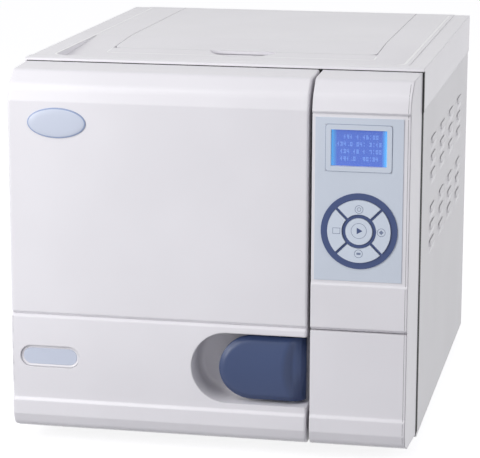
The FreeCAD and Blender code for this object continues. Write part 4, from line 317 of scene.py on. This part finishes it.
def extrude_ring(shape, rings, close=False):
    """Join rings of points into a skin, each ring a list of places of the same length."""
    rows = [[shape.verts.new(point) for point in ring] for ring in rings]
    for near, far in zip(rows, rows[1:]):
        for index in range(len(near)):
            after = (index + 1) % len(near)
            shape.faces.new((near[index], near[after], far[after], far[index]))
    if close:
        shape.faces.new(rows[0][::-1])
        shape.faces.new(rows[-1])


def front_ring(middle, radii, depth, count):
    """Points of an oval seen from the front."""
    turns = [2 * math.pi * step / count for step in range(count)]
    return [(middle[0] + radii[0] * math.cos(turn), depth, middle[1] + radii[1] * math.sin(turn))
            for turn in turns]


def slot_ring(middle, half_long, half_high, depth):
    """Points of a slot with round ends, seen from the front."""
    points = []
    steps = 24
    straight = half_long - half_high
    for side in (1, -1):
        for step in range(steps + 1):
            angle = -math.pi / 2 + math.pi * step / steps
            across = side * (straight + half_high * math.cos(angle))
            points.append((middle[0] + across, depth, middle[1] + side * half_high * math.sin(angle)))
    return points


def crowned(shape, ring_at, back, front, crown, edge):
    """A low domed plate with a round edge: ring_at(inset, depth) gives its rings."""
    rings = [ring_at(0.0, back), ring_at(0.0, front + edge)]
    steps = 6
    for step in range(1, steps + 1):
        share = step / steps
        rings.append(ring_at(edge * share, front + edge * (1 - math.sin(share * math.pi / 2))))
    for edges_in, share in ((5, 0.75), (9, 1.0)):
        rings.append(ring_at(edge * edges_in, front - crown * share))
    extrude_ring(shape, rings, close=True)


def box_middle(low, high):
    """Middle of a box, across and up."""
    return ((low.x + high.x) / 2, (low.z + high.z) / 2)


def make_oval_badge():
    """Crowned bare plate on the door with a darker rim, in place of the flat solid."""
    low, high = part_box("badge_oval")
    middle = box_middle(low, high)
    radii = ((high.x - low.x) / 2, (high.z - low.z) / 2)
    rim_width = 1.2 * MM
    rim_round = 0.7 * MM
    face_round = 0.8 * MM
    face_crown = 0.6 * MM
    face_proud = 0.3 * MM

    def oval(inset, depth):
        return front_ring(middle, (radii[0] - inset, radii[1] - inset), depth, 72)

    def inner_oval(inset, depth):
        return oval(inset + rim_width, depth)
    rim = add_mesh("oval_rim", lambda shape: crowned(shape, oval, high.y, low.y, 0.0, rim_round),
                   "badge_edge", "door")
    add_mesh("oval_face", lambda shape: crowned(shape, inner_oval, high.y - 0.4 * MM, low.y - face_proud,
                                                face_crown, face_round), "badge_grey", "door")
    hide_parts("badge_oval")


# Each mark has three rows of dots; the bits of a row's number are its dots from left to right
MARKS = {"0": "757", "1": "262", "2": "773", "3": "737", "4": "571", "5": "677", "6": "477",
         "7": "711", "8": "777", "9": "771", ":": "202", ".": "001", " ": "000"}
READ_OUT = ("   121 1 15:00  ", ".134.0 04: 3:18 ", "  134 18 1 7:00 ", "  121.0  20:34  ")


def dot_rows(shape, left, right, low, high, depth):
    """Rows of digit cells, as a plain read-out of numbers, in dots."""
    pitch = (right - left) / len(READ_OUT[0])
    drop = (high - low) / len(READ_OUT)
    wide = pitch * 0.2
    tall = drop * 0.17
    for row, words in enumerate(READ_OUT):
        for column, mark in enumerate(words):
            for line, code in enumerate(MARKS[mark]):
                z = high - drop * (row + 0.22 + 0.2 * line)
                for bit in [bit for bit in range(3) if int(code) & (4 >> bit)]:
                    x = left + pitch * (column + 0.12 + 0.25 * bit)
                    flat_outline(shape, [(x, z), (x + wide, z), (x + wide, z - tall), (x, z - tall)], depth)


def box_faces(shape, low, high):
    """A plain block between two corners."""
    spots = [shape.verts.new((x, y, z)) for x in (low[0], high[0]) for y in (low[1], high[1])
             for z in (low[2], high[2])]
    for face in ((0, 1, 3, 2), (4, 6, 7, 5), (0, 4, 5, 1), (2, 3, 7, 6), (0, 2, 6, 4), (1, 5, 7, 3)):
        shape.faces.new([spots[index] for index in face])


def make_screen():
    """Backlit screen behind the lens, with its rows of dots."""
    low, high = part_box("window_lens")
    back = high.y + 2.6 * MM
    thick = 0.3 * MM
    margin_side = 2.4 * MM
    margin_end = 4 * MM

    def plate(shape):
        box_faces(shape, (low.x, back, low.z), (high.x, back + thick, high.z))

    def rows(shape):
        dot_rows(shape, low.x + margin_side, high.x - margin_side, low.z + margin_end, high.z - margin_end,
                 back - thick / 2)
    add_mesh("screen", plate, "screen", "cabinet", smooth=False)
    add_mesh("screen_rows", rows, "pixel", "cabinet", smooth=False)


def rounded_frame(shape, low, high, width, corner, depth):
    """A flat printed frame with round corners, seen from the front."""
    loops = []
    steps = 8
    for inset in (0.0, width):
        loop = []
        for right, up, first in ((1, 1, 0), (0, 1, 1), (0, 0, 2), (1, 0, 3)):
            x = high[0] - corner if right else low[0] + corner
            z = high[1] - corner if up else low[1] + corner
            for step in range(steps + 1):
                angle = math.pi / 2 * (first + step / steps)
                loop.append(shape.verts.new((x + (corner - inset) * math.cos(angle), depth,
                                             z + (corner - inset) * math.sin(angle))))
        loops.append(loop)
    outer, inner = loops
    for index in range(len(outer)):
        after = (index + 1) % len(outer)
        shape.faces.new((outer[index], outer[after], inner[after], inner[index]))


def make_window_line():
    """Fine printed line round the display window."""
    low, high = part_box("window_frame")
    spread = 0.5 * MM
    width = 0.45 * MM
    corner = 3.4 * MM
    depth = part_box("control_overlay")[0].y - PRINT_LIFT

    def line(shape):
        rounded_frame(shape, (low.x - spread, low.z - spread), (high.x + spread, high.z + spread), width,
                      corner, depth)
    add_mesh("window_line", line, "print_soft", "cabinet", smooth=False)


def make_gap_shade():
    """Black sheets behind the front mouldings, as painted shade in the gaps: a film on top, and strips in the
    gap and round its edge.
    """
    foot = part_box("door_cover")[0].z
    low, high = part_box("top_cover")
    air = 0.02 * MM
    front = low.y - 3.6 * MM
    film = low.y - 0.3 * MM
    sheet = high.x - 1 * MM
    ledge = high.z - 3.1 * MM
    under_cover = low.z - 0.5 * MM
    strips = {
        "gap_shade_top": ((low.x + 2 * MM, film, ledge - 30 * MM), (sheet, low.y - air, ledge)),
        "gap_shade_right": ((sheet - 5 * MM, front, foot), (sheet, film - air, ledge)),
        "gap_shade_edge": ((sheet + air, front, foot), (sheet + 0.3 * MM, low.y + 9 * MM, under_cover)),
        "gap_shade_corner": ((high.x - 0.4 * MM, front, under_cover), (high.x + 0.25 * MM, low.y + 5 * MM, ledge)),
    }
    # The black rubber finish on these strips is painted shade in the gaps between the mouldings and the
    # cabinet
    for name, (near, far) in strips.items():
        add_mesh(name, lambda shape: box_faces(shape, near, far), "rubber_black", "cabinet",
                 smooth=False)


def spoke(shape, middle, turn, reach, half, back, front):
    """One straight bar that runs out from the middle of a ring, open at its ends and back."""
    along = Vector((math.cos(turn), math.sin(turn)))
    side = Vector((-along.y, along.x)) * half
    spots = [along * near + side * sign for near in reach for sign in (-1, 1)]
    places = [(middle[0] + spot.x, depth, middle[1] + spot.y) for spot in spots for depth in (back, front)]
    corners = [shape.verts.new(place) for place in places]
    for face in ((1, 3, 7, 5), (0, 1, 5, 4), (2, 6, 7, 3)):
        shape.faces.new([corners[index] for index in face])


def make_keypad():
    """Raised keypad frame: two rings joined by four spokes that end inside the outer ring."""
    low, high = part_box("keypad_frame")
    middle = box_middle(low, high)
    outer = (high.x - low.x) / 2
    outer_width = 7 * MM
    hub = 18.6 * MM
    hub_width = 3.6 * MM
    spoke_reach = (17 * MM, outer - 4 * MM)
    spoke_half = 1.2 * MM
    spoke_sink = 0.05 * MM

    def loop(reach, depth):
        return front_ring(middle, (reach, reach), depth, 96)

    def build(shape):
        for radius, width in ((outer, outer_width), (hub, hub_width)):
            extrude_ring(shape, [loop(radius - width, high.y), loop(radius - width, low.y),
                                 loop(radius, low.y), loop(radius, high.y)])
        for quarter in range(4):
            spoke(shape, middle, math.pi / 4 + math.pi / 2 * quarter, spoke_reach, spoke_half, high.y,
                  low.y + spoke_sink)
    piece = add_mesh("keypad_rings", build, "frame_blue", "cabinet", smooth=False)
    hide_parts("keypad_frame")


def grip_line(left, right, half, inset):
    """Outline of the grip from its lower right, round its left end, to its upper right."""
    steps = 24
    reach = half - inset
    centre = left + half
    run = right - centre
    points = [(right - run * step / steps, -reach) for step in range(steps)]
    for step in range(2 * steps + 1):
        angle = math.pi * step / (2 * steps)
        points.append((centre - reach * math.sin(angle), -reach * math.cos(angle)))
    return points + [(centre + run * step / steps, reach) for step in range(1, steps + 1)]


def close_grip(shape, rows):
    """Faces of the grip: its skin between the rows, the strip down its middle and its flat right end."""
    for near, far in zip(rows, rows[1:]):
        for index in range(len(near) - 1):
            shape.faces.new((near[index], near[index + 1], far[index + 1], far[index]))
    last = rows[-1]
    middle = len(last) // 2
    for step in range(middle - 1):
        shape.faces.new((last[step], last[step + 1], last[-step - 2], last[-step - 1]))
    shape.faces.new(last[middle - 1:middle + 2])
    shape.faces.new([row[0] for row in rows] + [row[-1] for row in rows][::-1])


def make_grip():
    """Lever with a crowned front, a soft rim and a curved end that falls back to its barrel."""
    low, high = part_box("handle_lever")
    level = (low.z + high.z) / 2
    half = (high.z - low.z) / 2
    barrel = 14.5 * MM
    axis = (high.x - barrel, high.y - barrel)
    right = axis[0] + 11 * MM
    back = low.y + 12 * MM
    rim = 5 * MM
    rim_fall = 2.6 * MM
    crown = 115 * MM
    bowl = 75 * MM
    bowl_middle = low.x + 72 * MM + bowl
    bowl_fall = 11 * MM
    bowl_run = 13 * MM
    insets = (0.0, 0.3, 0.9, 1.8, 3.0, 4.2, 5.0, 8.0, 12.0, 16.0, 20.0, 24.0, 28.0, 32.0, 35.0, 36.4)

    def depth_at(x, z, inset):
        lean = 1 - min(inset, rim) / rim
        fall = rim_fall * lean + crown - math.sqrt(crown ** 2 - z ** 2)
        inside = max(0.0, bowl - math.hypot(x - bowl_middle, z)) / bowl_run
        return min(low.y + fall + bowl_fall * min(1.0, inside) ** 1.15, back - 0.2 * MM)

    def build(shape):
        rows = [[shape.verts.new((x, back, level + z)) for x, z in grip_line(low.x, right, half, 0.0)]]
        for inset in insets:
            line = grip_line(low.x, right, half, inset * MM)
            rows.append([shape.verts.new((x, depth_at(x, z, inset * MM), level + z)) for x, z in line])
        close_grip(shape, rows)
        turns = [turn * math.pi / 24 for turn in range(48)]
        extrude_ring(shape, [[(axis[0] + barrel * math.cos(turn), axis[1] + barrel * math.sin(turn), height)
                              for turn in turns] for height in (low.z, high.z)], close=True)
        bmesh.ops.remove_doubles(shape, verts=shape.verts[:], dist=1e-6)
    piece = add_mesh("grip", build, "handle_blue", "handle")
    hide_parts("handle_lever")


def make_door_plate():
    """Slot-shaped bare plate low on the door, sunk in a seat with sloping sides."""
    low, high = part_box("badge_plate")
    middle = box_middle(low, high)
    long, tall = (high.x - low.x) / 2, (high.z - low.z) / 2
    slope = 2.7 * MM
    edge = 0.4 * MM

    def seat(shape):
        extrude_ring(shape, [slot_ring(middle, long, tall, high.y),
                             slot_ring(middle, long, tall, low.y + 0.1 * MM),
                             slot_ring(middle, long - slope, tall - slope, high.y - 0.2 * MM)])

    def ring_at(inset, depth):
        return slot_ring(middle, long - slope - inset, tall - slope - inset, depth)

    def plate(shape):
        crowned(shape, ring_at, high.y - 0.1 * MM, high.y - 0.7 * MM, 0.0, edge)
    piece = add_mesh("plate_seat", seat, "housing_white", "door", smooth=False)
    add_mesh("plate_face", plate, "badge_grey", "door", smooth=False)
    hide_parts("badge_plate")


def search_tree(node):
    """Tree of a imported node's faces for ray casts; its object sits at the origin."""
    return BVHTree.FromObject(NODES[node], bpy.context.evaluated_depsgraph_get())


def front_finder(*nodes):
    """A function that finds the depth of the first of some nodes' fronts at a place across and up."""
    trees = [search_tree(node) for node in nodes]

    def find(x, z):
        for tree in trees:
            spot = tree.ray_cast(Vector((x, -1.0, z)), Vector((0, 1, 0)))[0]
            if spot is not None:
                return spot.y
        return None
    return find


def join_rows(shape, rows):
    """Faces between rows of two vertices each."""
    for below, above in zip(rows, rows[1:]):
        shape.faces.new((below[0], below[1], above[1], above[0]))


def make_cheek():
    """Skin that carries the column's side past the seam, and the fine line beside it in front."""
    find = front_finder("column_bezel", "service_panel")
    top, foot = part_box("column_bezel")[1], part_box("service_panel")[0]
    front_edge = foot.x + 106.5 * MM
    lean = (top.x - front_edge) / (top.y - foot.y)
    steps = 160
    rise = top.z - foot.z - 0.8 * MM
    levels = [foot.z + 0.3 * MM + rise * step / steps for step in range(steps + 1)]
    skin_lift = 0.22 * MM
    skin_start = 0.9 * MM
    line_sides = (2.7 * MM, 2.2 * MM)

    def skin(shape):
        rows = []
        last = foot.y + 3 * MM
        for z in levels:
            found = find(front_edge - 0.6 * MM, z)
            last = last if found is None else found
            rows.append([shape.verts.new((front_edge + lean * (y - foot.y) + skin_lift, y, z))
                         for y in (last + skin_start, top.y - 0.1 * MM)])
        join_rows(shape, rows)

    def line(shape):
        rows = []
        for z in levels:
            found = find(front_edge - 2.4 * MM, z)
            if found is not None:
                rows.append([shape.verts.new((front_edge - across, found - PRINT_LIFT, z))
                             for across in line_sides])
        join_rows(shape, rows)
    add_mesh("cheek_skin", skin, "housing_white", "cabinet", smooth=False)
    add_mesh("cheek_line", line, "line_grey", "cabinet", smooth=False)


def top_finder(*nodes):
    """A function that finds the height of the highest of some nodes at a place across and back."""
    trees = [search_tree(node) for node in nodes]

    def find(x, y):
        spots = [tree.ray_cast(Vector((x, y, 1.0)), Vector((0, 0, -1)))[0] for tree in trees]
        return max(spot.z for spot in spots if spot is not None)
    return find


def rounded_path(half, front, back, corner):
    """Places along a U that is open at the back and has round front corners."""
    turns = 8
    runs = 24
    bend = front + corner
    path = [(-half, back + (bend - back) * step / runs) for step in range(runs)]
    for middle, first in ((corner - half, math.pi), (half - corner, math.pi * 1.5)):
        for step in range(turns + 1):
            angle = first + math.pi / 2 * step / turns
            path.append((middle + corner * math.cos(angle), bend + corner * math.sin(angle)))
    return path + [(half, bend + (back - bend) * step / runs) for step in range(1, runs + 1)]


def lay_strip(shape, find, path, half):
    """A fine flat strip along a path, laid on the surface that find gives."""
    lift = 0.04 * MM
    rows = []
    for index, (x, y) in enumerate(path):
        before, after = path[max(0, index - 1)], path[min(len(path) - 1, index + 1)]
        run = Vector((after[0] - before[0], after[1] - before[1])).normalized()
        places = [(x - run.y * half * way, y + run.x * half * way) for way in (-1, 1)]
        rows.append([shape.verts.new((*place, find(*place) + lift)) for place in places])
    join_rows(shape, rows)


def make_cover_highlights():
    """White strips laid on the surface along the edges of the cover's basin and round the lid, as painted
    highlights.
    """
    find = top_finder("top_cover", "tank_lid")
    back = 280 * MM
    outlines = {
        "basin_highlight": (rounded_path(202 * MM, -197 * MM, back, 14 * MM), 1.3 * MM),
        "lid_highlight": (rounded_path(158.3 * MM, -124 * MM, back, 6 * MM), 0.9 * MM),
    }
    for name, (path, half) in outlines.items():
        add_mesh(name, lambda shape: lay_strip(shape, find, path, half), "painted_highlight", "cabinet",
                 smooth=False)


def make_louvre_tails():
    """Ramps that run each side louvre's hood out below, down to the flat sheet, in a lighter copy of the side
    enamel that paints highlight on them.
    """
    rows_up, group_up = 20.3, 81.2
    first_level = 205
    first_back, pitch_back = 88.7, 97
    hood_depth = 2.4 * MM
    for side, name in ((1, "right"), (-1, "left")):
        low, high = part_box(name + "_side_panel")
        sheet = (high.x if side > 0 else -low.x) - hood_depth

        def build(shape):
            for row in range(6):
                level = low.z + (first_level + rows_up * (row % 3) + group_up * (row // 3)) * MM
                for column in range(4):
                    add_tail(shape, side, sheet, low.y + (first_back + pitch_back * column) * MM, level)
        add_mesh("louvre_tails_" + name, build, "side_painted_highlight", "cabinet")


def add_tail(shape, side, sheet, first, level):
    """One ramp: widest under the hood's lip and running out below it."""
    proud = 2.3 * MM
    sink = 0.05 * MM
    fall = ((3.3, 0.96), (4.6, 0.9), (7.0, 0.62), (10.0, 0.28), (13.0, 0.0))
    section = ((0.0, 0.0), (4.0, 0.9), (8.0, 1.0), (42.0, 1.0), (46.0, 0.9), (50.0, 0.0))
    rows = []
    for drop, share in fall:
        row = []
        for along, height in section:
            out = sheet + proud * share * height - (sink if height == 0 or share == 0 else 0)
            row.append(shape.verts.new((side * out, first + along * MM, level - drop * MM)))
        rows.append(row)
    for above, below in zip(rows, rows[1:]):
        for index in range(len(section) - 1):
            shape.faces.new((above[index], above[index + 1], below[index + 1], below[index]))


# Printed marks on the keys

def flat_ring(shape, middle, outer, inner, depth, count=40):
    """A thin printed ring, seen from the front."""
    for step in range(count):
        spots = []
        for radius, turn in ((outer, step), (outer, step + 1), (inner, step + 1), (inner, step)):
            angle = 2 * math.pi * turn / count
            spots.append(shape.verts.new((middle[0] + radius * math.cos(angle), depth,
                                          middle[1] + radius * math.sin(angle))))
        shape.faces.new(spots)


def flat_outline(shape, points, depth):
    """A flat printed patch from its corners."""
    shape.faces.new([shape.verts.new((x, depth, z)) for x, z in points])


def flat_box(shape, middle, low, high, depth):
    """A flat printed rectangle, with its corners in millimetres from a middle."""
    left, foot = (middle[0] + low[0] * MM, middle[1] + low[1] * MM)
    right, top = (middle[0] + high[0] * MM, middle[1] + high[1] * MM)
    flat_outline(shape, [(left, foot), (right, foot), (right, top), (left, top)], depth)


def key_middle(node):
    """Middle of a key's plate, and the depth just proud of its front."""
    low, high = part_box(node)
    return box_middle(low, high), low.y - PRINT_LIFT


def make_key_marks():
    """Plain symbols: a start triangle in a ring, and a small ringed or framed mark on each outer key."""
    (x, z), depth = key_middle("key_start")
    middle = (x, z + 0.8 * MM)
    size = 3.6 * MM
    left, right = x - size * 0.62, x + size * 1.15

    def start(shape):
        flat_outline(shape, [(left, middle[1] + size), (left, middle[1] - size), (right, middle[1])], depth)
    add_mesh("mark_start", start, "print", "start_key", smooth=False)
    add_mesh("mark_start_ring", lambda shape: flat_ring(shape, middle, 8.6 * MM, 8.15 * MM, depth),
             "print_soft", "start_key", smooth=False)
    marks = {"up": ring_mark, "right": gem_mark, "down": bar_mark, "left": frame_mark}
    for side, mark in marks.items():
        add_mesh("mark_%s_key" % side, lambda shape: mark(shape, *key_middle("key_" + side)), "print_soft",
                 side + "_key", smooth=False)


def outer_ring(shape, middle, depth):
    """The ring round a mark."""
    flat_ring(shape, middle, 4.6 * MM, 4.1 * MM, depth)


def ring_mark(shape, middle, depth):
    """A ring in a ring."""
    outer_ring(shape, middle, depth)
    flat_ring(shape, middle, 2.3 * MM, 1.8 * MM, depth, 20)


def gem_mark(shape, middle, depth):
    """A square on its corner in a ring."""
    outer_ring(shape, middle, depth)
    x, z = middle
    for size in (2.6 * MM, 1.2 * MM):
        flat_outline(shape, [(x - size, z), (x, z - size), (x + size, z), (x, z + size)], depth - 0.01 * size)


def bar_mark(shape, middle, depth):
    """A short bar in a ring."""
    outer_ring(shape, middle, depth)
    flat_box(shape, middle, (-2.2, -1.2), (2.2, 1.2), depth)


def frame_mark(shape, middle, depth):
    """An open rectangle of four thin bars."""
    for foot, top in ((-3.4, -2.9), (2.9, 3.4)):
        flat_box(shape, middle, (-4.2, foot), (4.2, top), depth)
    for left in (-4.2, 3.7):
        flat_box(shape, middle, (left, -2.9), (left + 0.5, 2.9), depth)


# Stage, camera and light

def seen_by_eye(tree):
    """One for what the camera sees, straight, in a reflection or through a lens."""
    path = add_node(tree, "ShaderNodeLightPath")
    source = path.outputs["Is Camera Ray"]
    for name in ("Is Glossy Ray", "Is Transmission Ray"):
        total = add_node(tree, "ShaderNodeMath", operation="ADD", use_clamp=True)
        tree.links.new(source, total.inputs[0])
        tree.links.new(path.outputs[name], total.inputs[1])
        source = total.outputs["Value"]
    return source


def make_stage():
    """Pale floor under the machine, brighter to the eye than to the machine."""
    mesh = bpy.data.meshes.new("floor")
    reach = 12.0
    mesh.from_pydata([(-reach, -reach, 0), (reach, -reach, 0), (reach, reach, 0), (-reach, reach, 0)], [],
                     [(0, 1, 2, 3)])
    floor = bpy.data.objects.new("floor", mesh)
    bpy.context.scene.collection.objects.link(floor)
    material, tree, shader = new_material("floor", (165, 165, 168), 0.9)
    shader.inputs["Specular IOR Level"].default_value = 0.0
    lift = add_node(tree, "ShaderNodeEmission")
    lift.inputs["Color"].default_value = (1.0, 1.0, 1.0, 1.0)
    lift.inputs["Strength"].default_value = 0.84
    total = add_node(tree, "ShaderNodeAddShader")
    choice = add_node(tree, "ShaderNodeMixShader")
    tree.links.new(shader.outputs["BSDF"], total.inputs[0])
    tree.links.new(lift.outputs["Emission"], total.inputs[1])
    tree.links.new(seen_by_eye(tree), choice.inputs["Fac"])
    tree.links.new(shader.outputs["BSDF"], choice.inputs[1])
    tree.links.new(total.outputs["Shader"], choice.inputs[2])
    tree.links.new(choice.outputs["Shader"], tree.nodes["Material Output"].inputs["Surface"])
    mesh.materials.append(material)
    floor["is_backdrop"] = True


def make_camera():
    """Camera at the photograph's place: found by fitting the machine's edges."""
    place = Vector((0.4916, -2.5536, 0.7687))
    yaw = math.radians(-11.386)
    pitch = math.radians(12.406)
    roll = math.radians(0.146)
    forward = Vector((math.sin(yaw) * math.cos(pitch), math.cos(yaw) * math.cos(pitch), -math.sin(pitch)))
    level = Vector((math.cos(yaw), -math.sin(yaw), 0.0))
    above = level.cross(forward)
    right = level * math.cos(roll) + above * math.sin(roll)
    up = above * math.cos(roll) - level * math.sin(roll)
    data = bpy.data.cameras.new("camera")
    data.lens = 161.35
    data.sensor_width = 36.0
    camera = bpy.data.objects.new("camera", data)
    bpy.context.scene.collection.objects.link(camera)
    turn = Matrix((right, up, -forward)).transposed()
    camera.matrix_world = Matrix.Translation(place) @ turn.to_4x4()
    bpy.context.scene.camera = camera


def add_light(name, place, aim, size, power):
    """Soft square lamp that looks at a point."""
    data = bpy.data.lights.new(name, "AREA")
    data.shape = "SQUARE"
    data.size = size
    data.energy = power
    lamp = bpy.data.objects.new(name, data)
    bpy.context.scene.collection.objects.link(lamp)
    lamp.location = place
    lamp.rotation_euler = (Vector(aim) - Vector(place)).to_track_quat("-Z", "Y").to_euler()


def make_world():
    """Even pale surroundings, seen as white by the camera."""
    world = bpy.data.worlds.new("world")
    bpy.context.scene.world = world
    world.use_nodes = True
    tree = world.node_tree
    back = tree.nodes["Background"]
    back.inputs["Color"].default_value = linear((244, 244, 250))
    back.inputs["Strength"].default_value = 0.42
    seen = add_node(tree, "ShaderNodeBackground")
    seen.inputs["Color"].default_value = (1.0, 1.0, 1.0, 1.0)
    seen.inputs["Strength"].default_value = 1.0
    mix = add_node(tree, "ShaderNodeMixShader")
    tree.links.new(seen_by_eye(tree), mix.inputs["Fac"])
    tree.links.new(back.outputs["Background"], mix.inputs[1])
    tree.links.new(seen.outputs["Background"], mix.inputs[2])
    tree.links.new(mix.outputs["Shader"], tree.nodes["World Output"].inputs["Surface"])


def make_lights():
    """Two near lamps at the left front, a small one above, and two broad ones at the right."""
    middle = (0.0, 0.0, 0.2)
    add_light("key_low", (-1.2, -1.5, 0.75), middle, 0.9, 17.0)
    add_light("key_high", (-0.7, -1.1, 1.5), (0.0, -0.2, 0.3), 0.8, 5.7)
    add_light("top", (0.0, -0.9, 2.4), middle, 0.7, 2.0)
    add_light("fill", (2.3, -1.2, 0.9), middle, 1.6, 7.3)
    add_light("rear", (2.2, 1.6, 1.0), (0.2, 0.1, 0.2), 1.2, 14.0)


dress_nodes()
make_oval_badge()
make_screen()
make_window_line()
make_gap_shade()
make_keypad()
make_grip()
make_door_plate()
make_cheek()
make_louvre_tails()
make_cover_highlights()
make_key_marks()
make_stage()
make_world()
make_camera()
make_lights()
bpy.context.scene.view_settings.view_transform = "Standard"

for corners in (CAD_BOX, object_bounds()):
    "%s\n" % [list(corner) for corner in corners]
